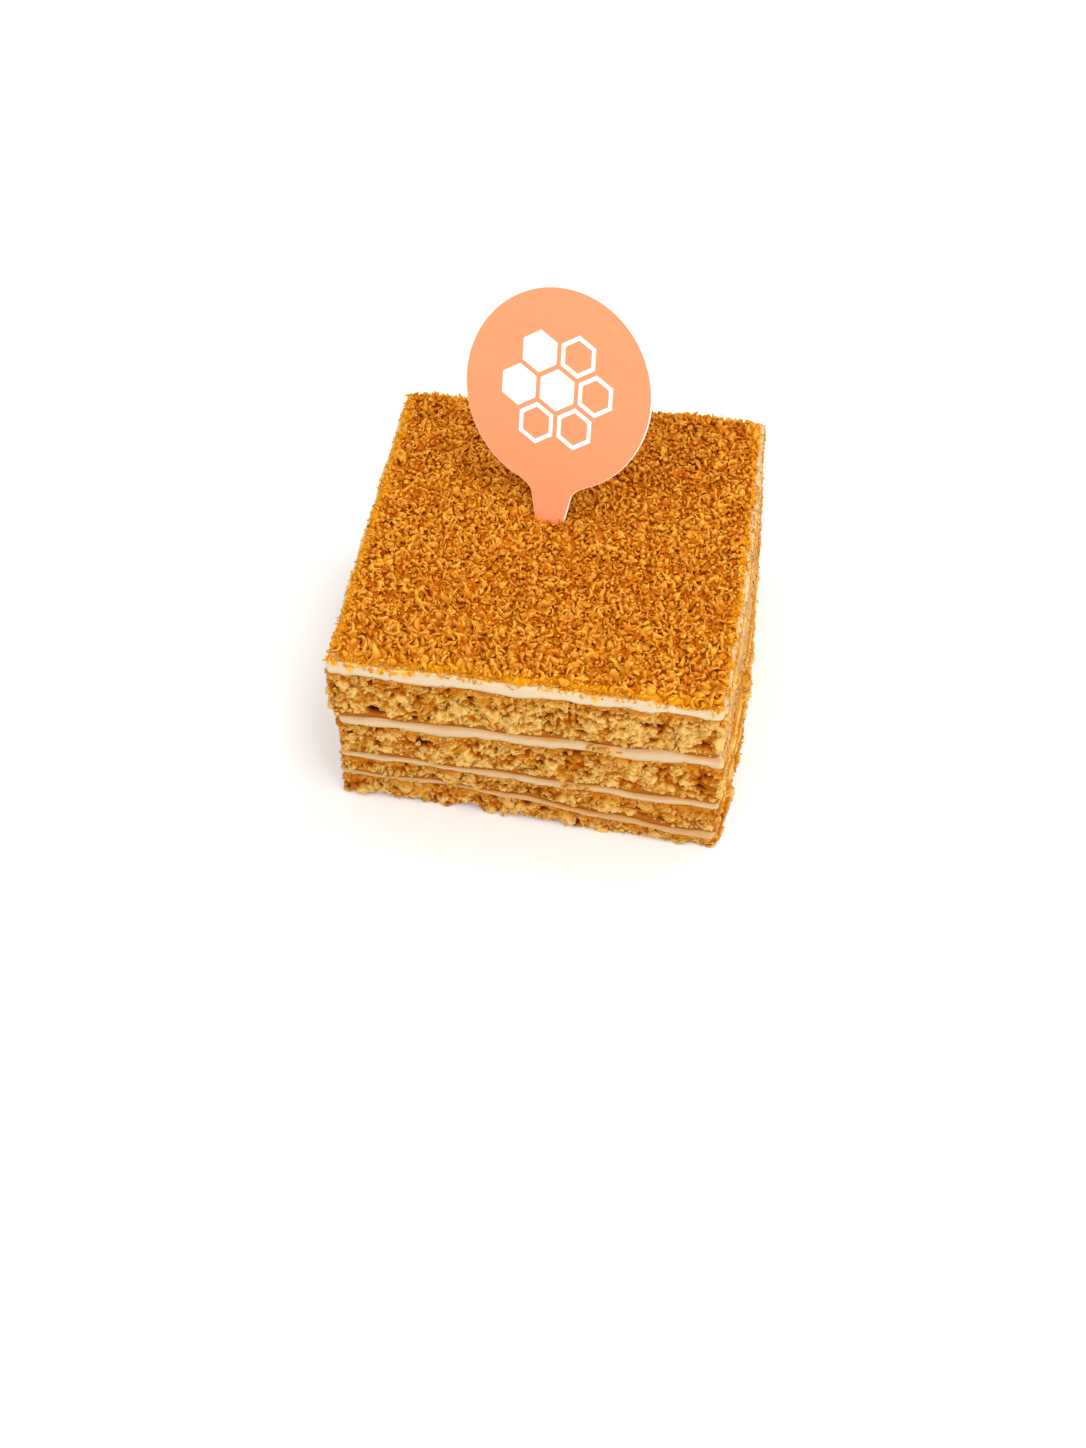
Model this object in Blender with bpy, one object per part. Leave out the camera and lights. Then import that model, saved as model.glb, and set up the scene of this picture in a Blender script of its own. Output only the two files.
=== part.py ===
"""Medovik: a square portion of layered honey cake with a crumb top and a round card pick stuck in it.

Blender 4.5 script, metres, +Z up. The front cut face looks along -Y and +X is to its right.
The origin is on the resting plane, under the middle of the whole object.
"""

import math
import random

import bmesh
import bpy
from mathutils import Matrix, Vector, noise

MM = 0.001

# Driving dimensions of the cake, in millimetres

# The four vertical cut edges, as seen from above: the knife left the block slightly out of square
TOP_CORNERS = {
    "front_left": (-37.3, -36.6),
    "front_right": (37.3, -36.4),
    "back_right": (36.4, 38.2),
    "back_left": (-36.6, 34.8),
}
BASE_CORNERS = {
    "front_left": (-37.9, -35.6),
    "front_right": (38.3, -36.9),
    "back_right": (37.6, 37.6),
    "back_left": (-37.4, 35.0),
}
HALF_WIDTH = 37.0  # nominal, of the square that all layers share
CORNER_PULL = 0.8  # how far the soft corners are worn back
RIGHT_BOW = (2.3, 0.8)  # how far the right side bows out halfway along, at the base and at the top

# Each sponge sheet and the cream on it, from the bottom up, at the middle of the cake
SPONGE_THICKNESS = (5.4, 6.5, 10.8, 12.5)
CREAM_THICKNESS = (1.3, 2.0, 2.8, 2.5)
CRUMB_THICKNESS = 1.6

# Rise from the left side to the right side of each sheet's top and of the cream on it
SPONGE_TILT = (-1.4, -0.4, 2.6, 2.1)
CREAM_TILT = (-1.5, -0.3, 3.2, 1.0)

# How far each layer has slid to the right of the one at the bottom
SPONGE_SLIP = (0.0, 0.0, 0.1, -0.6)
CREAM_SLIP = (-0.2, 0.4, 0.7, -0.4)

HUMP = 1.9  # the lowest sheet and its cream rise over one long swell
HUMP_CREST_X = -14.0
HUMP_LENGTH = 100.0
HUMP_SHARE = (1.0, 0.9, 0.05, 0.0, 0.1, 0.15, 0.0, 0.2)
RIPPLE = 0.28  # short waves of the cream lines
RIPPLE_LENGTH = 19.0  # along the front and the back
RIPPLE_LENGTH_SIDES = 23.0
RIPPLE_STEP = 1.7  # radians, from one cream to the next
RIPPLE_LAG = 0.6  # radians, between the two faces of a cream

GAP = 0.3  # clear space between two pieces that touch

# Relief of the cut faces
SPONGE_CRAG = 0.9
SPONGE_CRAG_SIZE = 4.2
SPONGE_PIT = 0.8
SPONGE_PIT_SIZE = 2.3
SPONGE_HOLLOW = 1.1  # deepest
SPONGE_PROUD = 0.6  # furthest out
CREAM_BULGE = 0.35
CREAM_WANDER = 0.35
CREAM_WANDER_SIZE = 7.0
CAVITIES = ((-29.0, 31.0), (-20.0, 22.5))  # places of the two large holes in the front's crumb
CAVITY_DEPTH = 2.2
CAVITY_RADIUS = 1.8

# Crumb topping
CRUMB_RELIEF = 0.6
CRUMB_STRAY = 0.4  # how far a bump is off its place in the grid
CRUMB_EDGE_DROP = 0.6
CRUMB_EDGE_INSET = 0.8  # the cream's rim shows past the crumbs
CRUMB_EDGE_RAG = 0.5
CRUMB_CELLS = 36  # cells along a side
TOPPING_INNER_STEP = 4  # one inner point of its hidden face for so many cells
LARGE_CRUMBS = 34
LARGE_CRUMB_RADIUS = (0.9, 1.3)
LARGE_CRUMB_SHAPE = (1.25, 0.95, 0.8)
LARGE_CRUMB_LUMP = 0.2
LARGE_CRUMB_TIP = 0.5  # radians, off the level
LARGE_CRUMB_SINK = 0.2
CRUMB_FIELD = (33.8, 31.1)  # half width and half depth of where the large crumbs lie

# Mesh density
SIDE_COLUMNS = 30
INNER_STEP = 3  # one inner point of a hidden face for so many columns
INNER_INSET = 8.0
SPONGE_ROW_HEIGHT = 2.4
CREAM_ROWS = 2
DISC_STEPS = 28
NECK_STEPS = 4

# Card pick: a disc on a tapering stem, leaning back and turned to the left
DISC_RADIUS = 19.4
DISC_RISE = 25.9  # from the cake's surface to the disc's centre, along the stem
STEM_HALF_WIDTH = 3.0  # where it enters the cake
STEM_NECK_HALF_WIDTH = 4.2
STEM_NECK_RISE = 5.4
NECK_CORNER = (4.8, 7.1)  # where the stem's side would meet the disc's, before the fillet
NECK_LANDING = -64.0  # degrees round the disc, where the fillet ends
STEM_TIP_HALF_WIDTH = 1.3
STEM_TIP_ROUNDING = 0.6
STEM_DEPTH = 14.0
CARD_THICKNESS = 0.6
PICK_ENTRY = (-2.2, 4.0)
PICK_SINK = 0.6  # depth of the stem's reference line under the crumb tops
PICK_TURN = -19.7  # degrees, about +Z, from facing -Y
PICK_LEAN = 29.0  # degrees, top away from the front
PICK_ROLL = -11.4  # degrees, in the disc's own plane
SLOT_CLEARANCE = 0.3

SEED = 11

# Colour and roughness
SPONGE_FINISH = ((0.62, 0.33, 0.08), 0.85)
CREAM_FINISH = ((0.88, 0.74, 0.52), 0.45)
CRUMB_FINISH = ((0.64, 0.22, 0.014), 0.8)
CARD_FINISH = ((0.98, 0.44, 0.21), 0.4)

SIDES = ("front_left", "front_right", "back_right", "back_left")
SHEETS = len(SPONGE_THICKNESS)
CAKE_HEIGHT = sum(SPONGE_THICKNESS) + sum(CREAM_THICKNESS)


# Shared heights: every face between two layers follows one of these surfaces


def level_height(level):
    """Middle height of a surface: 0 is the base, odd ones top a sponge sheet, even ones top a cream."""
    sheets = (level + 1) // 2
    creams = level // 2
    return sum(SPONGE_THICKNESS[:sheets]) + sum(CREAM_THICKNESS[:creams])


def level_tilt(level):
    if level == 0:
        return 0.0
    tilts = SPONGE_TILT if level % 2 else CREAM_TILT
    return tilts[(level - 1) // 2]


def plane(level, x):
    """The flat, tilted part of a surface."""
    return level_height(level) + level_tilt(level) * x / (2 * HALF_WIDTH)


def wave(level, x, y):
    """How far a surface stands above its plane at a cut face."""
    if level == 0:
        return 0.0
    swell = math.cos(2 * math.pi * (x - HUMP_CREST_X) / HUMP_LENGTH)
    phase = RIPPLE_STEP * (level // 2) + RIPPLE_LAG * (level % 2)
    along = math.sin(2 * math.pi * x / RIPPLE_LENGTH + phase)
    across = math.sin(2 * math.pi * y / RIPPLE_LENGTH_SIDES - phase)
    return HUMP * HUMP_SHARE[level - 1] * swell + RIPPLE * (along + across)


def surface(level, x, y):
    """Height of a surface: it follows the waves at the cut faces and settles to its plane inside."""
    reach = max(abs(x), abs(y), GAP)
    to_edge = HALF_WIDTH / reach
    settling = min(1.0, (HALF_WIDTH - reach) / INNER_INSET)
    return plane(level, x) + (1 - settling) * wave(level, x * to_edge, y * to_edge)


# Plan outline


def corner_at(name, height):
    share = min(1.0, height / CAKE_HEIGHT)
    return Vector(BASE_CORNERS[name]).lerp(Vector(TOP_CORNERS[name]), share)


def bow(height, share):
    """How far the right side stands out of line, that share of the way from front to back."""
    base, top = RIGHT_BOW
    return (base + (top - base) * min(1.0, height / CAKE_HEIGHT)) * math.sin(math.pi * share)


def outline(columns, height, slip):
    """(point, outward direction) for each column round the cake, anticlockwise from the front left."""
    corners = [corner_at(name, height) + Vector((slip, 0.0)) for name in SIDES]
    found = []
    for i, start in enumerate(corners):
        end = corners[(i + 1) % 4]
        before = corners[i - 1]
        run = (end - start).normalized()
        normal = Vector((run.y, -run.x))
        arriving = (start - before).normalized()
        arriving_normal = Vector((arriving.y, -arriving.x))
        for j in range(columns):
            bowed = bow(height, j / columns) if SIDES[i] == "front_right" else 0.0
            if j == 0:
                diagonal = (normal + arriving_normal).normalized()
                found.append((start - diagonal * CORNER_PULL, diagonal))
            else:
                found.append((start.lerp(end, j / columns) + normal * bowed, normal))
    return found


# Relief


def sponge_offset(point, sheet):
    """How far the torn crumb of a sponge's cut face stands out, in millimetres."""
    own_noise = Vector((0, 0, 10.0 * CAKE_HEIGHT * sheet))
    crag = noise.noise((point + own_noise) / SPONGE_CRAG_SIZE)
    pit = noise.noise((point - own_noise) / SPONGE_PIT_SIZE)
    torn = max(-SPONGE_HOLLOW, min(SPONGE_PROUD, SPONGE_CRAG * crag + SPONGE_PIT * pit))
    if point.y > TOP_CORNERS["front_left"][1] + CAVITY_RADIUS:
        return torn
    for x, z in CAVITIES:
        nearness = 1 - math.hypot(point.x - x, point.z - z) / CAVITY_RADIUS
        torn -= CAVITY_DEPTH * max(0.0, nearness)
    return torn


def cream_offset(point, row_share):
    """A soft rounded lip that wanders in and out along the cut."""
    lip = CREAM_BULGE * (math.sin(math.pi * row_share) - 0.5)
    return lip + CREAM_WANDER * noise.noise(point / CREAM_WANDER_SIZE)


# Mesh building


def new_object(name, mesh_builder, finish):
    bm = bmesh.new()
    mesh_builder(bm)
    bmesh.ops.recalc_face_normals(bm, faces=bm.faces)
    mesh = bpy.data.meshes.new(name)
    bm.to_mesh(mesh)
    bm.free()
    obj = bpy.data.objects.new(name, mesh)
    bpy.context.scene.collection.objects.link(obj)
    material = bpy.data.materials.new(name)
    material.use_nodes = True
    shader = material.node_tree.nodes["Principled BSDF"]
    colour, roughness = finish
    shader.inputs["Base Color"].default_value = (*colour, 1.0)
    shader.inputs["Roughness"].default_value = roughness
    shader.inputs["Metallic"].default_value = 0.0
    mesh.materials.append(material)
    return obj


def strip(bm, lower, upper):
    """Pairs of triangles between two rings of equal length."""
    count = len(lower)
    for i in range(count):
        j = (i + 1) % count
        bm.faces.new((lower[i], lower[j], upper[j]))
        bm.faces.new((lower[i], upper[j], upper[i]))


def cap(bm, ring, level, lift, step):
    """Closes a ring over the hidden middle of a surface: a sparse inner ring, then one flat face."""
    inner = []
    for vertex in ring[::step]:
        x, y = vertex.co.x / MM, vertex.co.y / MM
        inward = (HALF_WIDTH - INNER_INSET) / max(abs(x), abs(y))
        x, y = x * inward, y * inward
        inner.append(bm.verts.new(Vector((x, y, plane(level, x) + lift)) * MM))
    for i, near in enumerate(inner):
        following = inner[(i + 1) % len(inner)]
        for j in range(step):
            first = ring[(i * step + j) % len(ring)]
            second = ring[(i * step + j + 1) % len(ring)]
            bm.faces.new((first, second, near))
        bm.faces.new((ring[(i + 1) * step % len(ring)], following, near))
    bm.faces.new(inner)


def layer_rings(bm, lower, upper, rows, slip, offset):
    """The side wall of a layer, from its lower surface to its upper one. Returns its rings of vertices."""
    rings = []
    low, high = level_height(lower), level_height(upper)
    for row in range(rows + 1):
        share = row / rows
        ring = []
        for place, outward in outline(SIDE_COLUMNS, (low + high) / 2, slip):
            nominal = Vector((place.x, place.y, low + share * (high - low)))
            x, y = place + outward * offset(nominal, share)
            bottom = surface(lower, x, y) + (GAP / 2 if lower else 0.0)
            top = surface(upper, x, y) - GAP / 2
            ring.append(bm.verts.new(Vector((x, y, bottom + share * (top - bottom))) * MM))
        rings.append(ring)
    return rings


def build_layer(bm, lower, upper, rows, slip, offset):
    rings = layer_rings(bm, lower, upper, rows, slip, offset)
    for below, above in zip(rings, rings[1:]):
        strip(bm, below, above)
    cap(bm, rings[0], lower, GAP / 2 if lower else 0.0, INNER_STEP)
    cap(bm, rings[-1], upper, -GAP / 2, INNER_STEP)


def sponge_sheet(sheet):
    """One baked sheet, with torn crumb on its four cut sides."""
    rows = max(2, round(SPONGE_THICKNESS[sheet] / SPONGE_ROW_HEIGHT))
    lower = 2 * sheet

    def torn_sides(point, row_share):
        return sponge_offset(point, sheet)

    def builder(bm):
        build_layer(bm, lower, lower + 1, rows, SPONGE_SLIP[sheet], torn_sides)

    return new_object(f"sponge_{sheet + 1}", builder, SPONGE_FINISH)


def cream_coat(sheet):
    """The cream spread on one sheet, cut through with it."""
    lower = 2 * sheet + 1

    def builder(bm):
        build_layer(bm, lower, lower + 1, CREAM_ROWS, CREAM_SLIP[sheet], cream_offset)

    return new_object(f"cream_{sheet + 1}", builder, CREAM_FINISH)


# Crumb topping


def crumb_bump(i, j, draw):
    """One point of the topping's upper side: ragged and lower at the rim, a crumb-sized bump inside."""
    corners = [Vector(TOP_CORNERS[name]) for name in SIDES]
    u, v = i / CRUMB_CELLS, j / CRUMB_CELLS
    place = corners[0].lerp(corners[1], u).lerp(corners[3].lerp(corners[2], u), v)
    place.x += u * bow(CAKE_HEIGHT, v)
    stray = Vector((draw.uniform(-CRUMB_STRAY, CRUMB_STRAY), draw.uniform(-CRUMB_STRAY, CRUMB_STRAY)))
    bump = draw.uniform(-CRUMB_RELIEF, CRUMB_RELIEF)
    ends = (0, CRUMB_CELLS)
    if i in ends or j in ends:
        worn = CORNER_PULL if i in ends and j in ends else draw.uniform(-CRUMB_EDGE_RAG, CRUMB_EDGE_RAG)
        stray = -place.normalized() * (CRUMB_EDGE_INSET + worn)
        bump = bump / 2 - CRUMB_EDGE_DROP
    x, y = place + stray
    return Vector((x, y, surface(2 * SHEETS, x, y) + CRUMB_THICKNESS + bump))


def topping_slab(bm):
    """A slab whose top is a field of crumb-sized bumps and whose rim is ragged."""
    draw = random.Random(SEED)
    level = 2 * SHEETS
    points = range(CRUMB_CELLS + 1)
    grid = [[bm.verts.new(crumb_bump(i, j, draw) * MM) for i in points] for j in points]
    for j in range(CRUMB_CELLS):
        for i in range(CRUMB_CELLS):
            a, b = grid[j][i], grid[j][i + 1]
            c, d = grid[j + 1][i + 1], grid[j + 1][i]
            bm.faces.new((a, b, c))
            bm.faces.new((a, c, d))
    rim = [grid[0][i] for i in range(CRUMB_CELLS)]
    rim += [grid[j][CRUMB_CELLS] for j in range(CRUMB_CELLS)]
    rim += [grid[CRUMB_CELLS][i] for i in range(CRUMB_CELLS, 0, -1)]
    rim += [grid[j][0] for j in range(CRUMB_CELLS, 0, -1)]
    foot = []
    for vertex in rim:
        x, y = vertex.co.x / MM, vertex.co.y / MM
        foot.append(bm.verts.new(Vector((x, y, surface(level, x, y) + GAP / 2)) * MM))
    strip(bm, foot, rim)
    cap(bm, foot, level, GAP / 2, TOPPING_INNER_STEP)


def large_crumb(index, place, radius, draw):
    """One broken crumb: a lumpy, flattened polyhedron, half sunk in the topping."""
    bm = bmesh.new()
    bmesh.ops.create_icosphere(bm, subdivisions=1, radius=radius * MM)
    for vertex in bm.verts:
        vertex.co *= draw.uniform(1 - LARGE_CRUMB_LUMP, 1 + LARGE_CRUMB_LUMP)
    turn = Matrix.Rotation(draw.uniform(0, 2 * math.pi), 4, "Z")
    tip = Matrix.Rotation(draw.uniform(-LARGE_CRUMB_TIP, LARGE_CRUMB_TIP), 4, "X")
    flatten = Matrix.Diagonal((*LARGE_CRUMB_SHAPE, 1.0))
    bmesh.ops.transform(bm, matrix=turn @ tip @ flatten, verts=bm.verts)
    mesh = bpy.data.meshes.new(f"large_crumb_{index}")
    bm.to_mesh(mesh)
    bm.free()
    obj = bpy.data.objects.new(mesh.name, mesh)
    obj.location = place * MM
    return obj


def crumb_topping():
    """Fine cake crumbs pressed into the top cream, with the largest ones fused on."""
    topping = new_object("crumb_topping", topping_slab, CRUMB_FINISH)
    crumbs = bpy.data.collections.new("large_crumbs")
    bpy.context.scene.collection.children.link(crumbs)
    draw = random.Random(SEED + 1)
    golden = (math.sqrt(5) - 1) / 2
    for index in range(LARGE_CRUMBS):
        u = (index + draw.random()) / LARGE_CRUMBS
        v = (index * golden + draw.random() / SHEETS) % 1.0
        x, y = CRUMB_FIELD[0] * (2 * u - 1), CRUMB_FIELD[1] * (2 * v - 1)
        lift = CRUMB_THICKNESS + draw.uniform(-LARGE_CRUMB_SINK, LARGE_CRUMB_SINK)
        place = Vector((x, y, plane(2 * SHEETS, x) + lift))
        crumbs.objects.link(large_crumb(index, place, draw.uniform(*LARGE_CRUMB_RADIUS), draw))
    union = topping.modifiers.new("fuse", "BOOLEAN")
    union.operation = "UNION"
    union.solver = "EXACT"
    union.operand_type = "COLLECTION"
    union.collection = crumbs
    apply_modifiers(topping)
    for obj in list(crumbs.objects):
        bpy.data.objects.remove(obj)
    bpy.data.collections.remove(crumbs)
    return topping


# Card pick


def pick_frame():
    """Matrix from the card's own axes (x across, y up the stem, z out of its face) to the cake's."""
    turn = Matrix.Rotation(math.radians(PICK_TURN), 4, "Z")
    stand = Matrix.Rotation(math.radians(90.0 - PICK_LEAN), 4, "X")
    roll = Matrix.Rotation(math.radians(-PICK_ROLL), 4, "Z")
    entry = (*PICK_ENTRY, plane(2 * SHEETS, PICK_ENTRY[0]) + CRUMB_THICKNESS - PICK_SINK)
    return Matrix.Translation(Vector(entry) * MM) @ turn @ stand @ roll


def stem_half_width(rise):
    """The stem widens evenly from its tip to where it meets the cake, then to the neck."""
    if rise < 0:
        return STEM_HALF_WIDTH + (STEM_HALF_WIDTH - STEM_TIP_HALF_WIDTH) * rise / STEM_DEPTH
    return STEM_HALF_WIDTH + (STEM_NECK_HALF_WIDTH - STEM_HALF_WIDTH) * rise / STEM_NECK_RISE


def pick_outline():
    """Right half from the tip to the top of the disc, then mirrored."""
    half = [(STEM_TIP_HALF_WIDTH - STEM_TIP_ROUNDING, -STEM_DEPTH - STEM_TIP_ROUNDING)]
    half += [(stem_half_width(rise), rise) for rise in (-STEM_DEPTH, 0.0, STEM_NECK_RISE)]
    landing = math.radians(NECK_LANDING)
    start, corner = Vector(half[-1]), Vector(NECK_CORNER)
    end = Vector((DISC_RADIUS * math.cos(landing), DISC_RISE + DISC_RADIUS * math.sin(landing)))
    for step in range(1, NECK_STEPS):
        t = step / NECK_STEPS
        point = start * (1 - t) ** 2 + corner * 2 * t * (1 - t) + end * t**2
        half.append(tuple(point))
    for step in range(DISC_STEPS):
        angle = landing + (math.pi / 2 - landing) * step / DISC_STEPS
        half.append((DISC_RADIUS * math.cos(angle), DISC_RISE + DISC_RADIUS * math.sin(angle)))
    crown = [(0.0, DISC_RISE + DISC_RADIUS)]
    return half + crown + [(-x, y) for x, y in reversed(half)]


def extrude_outline(bm, points, thickness):
    front = [bm.verts.new(Vector((x, y, thickness / 2)) * MM) for x, y in points]
    back = [bm.verts.new(Vector((x, y, -thickness / 2)) * MM) for x, y in points]
    count = len(points)
    for i in range(count):
        j = (i + 1) % count
        bm.faces.new((back[i], back[j], front[j], front[i]))
    bm.faces.new(front)
    bm.faces.new(back[::-1])
    bmesh.ops.triangulate(bm, faces=bm.faces)


def card_pick():
    """A printed card disc whose stem is pushed into the top sheet."""

    def builder(bm):
        extrude_outline(bm, pick_outline(), CARD_THICKNESS)

    pick = new_object("pick", builder, CARD_FINISH)
    pick.matrix_world = pick_frame()
    return pick


def slot_outline():
    """The stem's outline up to its neck, wider by the clearance."""
    rises = (-STEM_DEPTH - STEM_TIP_ROUNDING - SLOT_CLEARANCE, 0.0, STEM_NECK_RISE)
    right = [(stem_half_width(rise) + SLOT_CLEARANCE, rise) for rise in rises]
    return right + [(-x, y) for x, y in reversed(right)]


def cut_slot(pieces):
    """The narrow slit that the stem has made in the topping, the cream and the top sheet."""

    def builder(bm):
        extrude_outline(bm, slot_outline(), CARD_THICKNESS + 2 * SLOT_CLEARANCE)

    cutter = new_object("slot_cutter", builder, CARD_FINISH)
    cutter.matrix_world = pick_frame()
    cutter.hide_render = True
    cutter.display_type = "WIRE"
    for piece in pieces:
        cut = piece.modifiers.new("slot", "BOOLEAN")
        cut.operation = "DIFFERENCE"
        cut.solver = "EXACT"
        cut.object = cutter
        apply_modifiers(piece)
    bpy.data.objects.remove(cutter)


def apply_modifiers(obj):
    bpy.context.view_layer.update()
    evaluated = obj.evaluated_get(bpy.context.evaluated_depsgraph_get())
    mesh = bpy.data.meshes.new_from_object(evaluated)
    obj.modifiers.clear()
    obj.data = mesh
    mesh.name = obj.name


def centre_on_origin(pieces):
    """Moves the whole object so that the middle of its bounding box stands over the origin."""
    bpy.context.view_layer.update()
    points = [obj.matrix_world @ vertex.co for obj in pieces for vertex in obj.data.vertices]
    shift = Vector((0.0, 0.0, 0.0))
    for axis in (0, 1):
        along = [point[axis] for point in points]
        shift[axis] = -(min(along) + max(along)) / 2
    for obj in pieces:
        obj.matrix_world = Matrix.Translation(shift) @ obj.matrix_world
    print("moved by", [round(value / MM, 3) for value in shift], "mm")


def main():
    for obj in list(bpy.data.objects):
        bpy.data.objects.remove(obj)
    sponges = [sponge_sheet(sheet) for sheet in range(SHEETS)]
    creams = [cream_coat(sheet) for sheet in range(SHEETS)]
    topping = crumb_topping()
    cut_slot([topping, creams[-1], sponges[-1]])
    pick = card_pick()
    centre_on_origin([*sponges, *creams, topping, pick])


main()
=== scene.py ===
"""The looks of a square portion of honey cake: torn sponge, cream, a field of crumbs and a card pick.

Lengths are in millimetres in the cake's own frame, unless a name says otherwise.
"""

import itertools
import math

import bmesh
import bpy
import numpy as np
from mathutils import Matrix, Vector


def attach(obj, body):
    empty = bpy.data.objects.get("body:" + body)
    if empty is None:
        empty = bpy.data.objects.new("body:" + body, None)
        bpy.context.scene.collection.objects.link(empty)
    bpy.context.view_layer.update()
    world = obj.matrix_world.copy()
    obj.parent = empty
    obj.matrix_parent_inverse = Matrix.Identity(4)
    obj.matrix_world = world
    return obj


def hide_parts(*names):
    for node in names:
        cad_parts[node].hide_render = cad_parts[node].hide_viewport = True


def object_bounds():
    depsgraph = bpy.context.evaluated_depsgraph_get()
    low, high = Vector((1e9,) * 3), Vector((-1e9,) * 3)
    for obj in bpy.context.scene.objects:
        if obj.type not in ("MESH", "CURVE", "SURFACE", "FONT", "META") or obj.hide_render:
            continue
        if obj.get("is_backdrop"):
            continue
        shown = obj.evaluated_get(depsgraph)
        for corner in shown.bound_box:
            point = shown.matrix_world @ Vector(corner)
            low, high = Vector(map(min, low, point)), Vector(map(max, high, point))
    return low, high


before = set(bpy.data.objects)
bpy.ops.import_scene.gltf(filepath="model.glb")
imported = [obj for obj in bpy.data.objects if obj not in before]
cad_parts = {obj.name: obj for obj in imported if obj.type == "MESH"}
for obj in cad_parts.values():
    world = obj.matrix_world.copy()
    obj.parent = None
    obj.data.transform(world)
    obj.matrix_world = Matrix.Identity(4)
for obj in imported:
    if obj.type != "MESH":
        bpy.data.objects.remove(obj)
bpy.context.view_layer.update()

# The table is a broad sheet of white matt paper. A window, a skylight, a white panel and white walls
# light it softly. The camera stands in front of the cake, a little to the right, and looks down on it.

MM = 0.001
MOVED = np.array((-1.154, -0.609, 0.0))  # from the cake's own frame to the one it is stored in
PAPER = "#FAF9F7"
PAPER_HALF_SIZE = 1500.0
CAMERA_AZIMUTH = 10.25
CAMERA_ELEVATION = 53.92
CAMERA_ROLL = -0.59
CAMERA_DISTANCE = 394.2
CAMERA_AIM = (1.6, -26.7, 20.0)
CAMERA_LENS = 50.1
CAMERA_SENSOR = 36.0
LIGHTS = (  # name, place, size and watts
    ("window", (-200.0, -300.0, 650.0), 560.0, 2.2),
    ("skylight", (170.0, 190.0, 640.0), 220.0, 1.6),
    ("panel", (480.0, -290.0, 280.0), 600.0, 2.6),
)
LIGHTS_AIM = (0.0, 0.0, 20.0)
WALLS_STRENGTH = 0.61


def linear(code):
    """An sRGB hex colour as the linear red, green, blue and alpha that a shader takes."""
    shares = [int(code[i : i + 2], 16) / 255 for i in (1, 3, 5)]
    return (*[s / 12.92 if s <= 0.04045 else ((s + 0.055) / 1.055) ** 2.4 for s in shares], 1.0)


def new_material(name):
    made = bpy.data.materials.new(name)
    made.use_nodes = True
    return made


def add(material, kind, settings=None, links=None):
    """Adds a node, or takes the principled one, and gives it its settings and links.

    A setting is a property or an input's value, and stops are a ramp's places and colours.
    A link gives an input the first output of a node, or the one that a (node, name) pair names.
    """
    nodes = material.node_tree.nodes
    made = nodes["Principled BSDF"] if kind == "Principled BSDF" else nodes.new("ShaderNode" + kind)
    for name, value in (settings or {}).items():
        if name == "stops":
            ramp = made.color_ramp.elements
            ramp[0].position, ramp[-1].position = value[0][0], value[-1][0]
            for position, _ in value[1:-1]:
                ramp.new(position)
            for element, (_, colour) in zip(ramp, value):
                element.color = linear(colour)
        elif isinstance(name, str) and hasattr(made, name):
            setattr(made, name, value)
        else:
            made.inputs[name].default_value = value
    for name, source in (links or {}).items():
        output = source[0].outputs[source[1]] if isinstance(source, tuple) else source.outputs[0]
        material.node_tree.links.new(output, made.inputs[name])
    return made


def new_piece(name, points, faces, material, smooth=True):
    """A mesh object from points in the cake's own frame."""
    mesh = bpy.data.meshes.new(name)
    mesh.from_pydata(((np.asarray(points) + MOVED) * MM).tolist(), [], faces)
    mesh.polygons.foreach_set("use_smooth", [smooth] * len(mesh.polygons))
    mesh.materials.append(material)
    mesh.update()
    piece = bpy.data.objects.new(name, mesh)
    bpy.context.scene.collection.objects.link(piece)
    return piece


# Matt paper: cellulose reads as a soft white with no gloss.
paper = new_material("white_paper")
paper_place = (add(paper, "TexCoord"), "Object")
paper_fibre = add(paper, "TexNoise", {"Scale": 1 / (1.1 * MM), "Detail": 3.0}, {"Vector": paper_place})
paper_bump = add(paper, "Bump", {"Strength": 0.05, "Distance": 0.0002}, {"Height": paper_fibre})
add(paper, "Principled BSDF", {"Base Color": linear(PAPER), "Roughness": 0.9}, {"Normal": paper_bump})
half = PAPER_HALF_SIZE
paper_corners = [(-half, -half, 0), (half, -half, 0), (half, half, 0), (-half, half, 0)]
table = new_piece("table", paper_corners, [(0, 1, 2, 3)], paper)
table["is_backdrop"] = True

for name, place, size, watts in LIGHTS:
    lamp = bpy.data.lights.new(name, "AREA")
    lamp.size, lamp.energy = size * MM, watts
    light = bpy.data.objects.new(name, lamp)
    light.location = (Vector(place) + Vector(MOVED)) * MM
    away = Vector(place) - Vector(LIGHTS_AIM)
    light.rotation_euler = away.to_track_quat("Z", "Y").to_euler()
    bpy.context.scene.collection.objects.link(light)
world = bpy.data.worlds.new("white_walls")
world.use_nodes = True
world.node_tree.nodes["Background"].inputs["Color"].default_value = (1, 1, 1, 1)
world.node_tree.nodes["Background"].inputs["Strength"].default_value = WALLS_STRENGTH
bpy.context.scene.world = world
bpy.context.scene.view_settings.view_transform = "Standard"

turned = Matrix.Rotation(math.radians(CAMERA_AZIMUTH), 3, "Z")
turned = turned @ Matrix.Rotation(math.radians(90 - CAMERA_ELEVATION), 3, "X")
turned = turned @ Matrix.Rotation(math.radians(CAMERA_ROLL), 3, "Z")
camera = bpy.data.objects.new("camera", bpy.data.cameras.new("camera"))
camera.data.lens = CAMERA_LENS
camera.data.sensor_width = CAMERA_SENSOR
camera.data.clip_start = 0.01
eye = (Vector(CAMERA_AIM) + Vector(MOVED) + turned.col[2] * CAMERA_DISTANCE) * MM
camera.matrix_world = Matrix.Translation(eye) @ turned.to_4x4()
bpy.context.scene.collection.objects.link(camera)
bpy.context.scene.camera = camera

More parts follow.
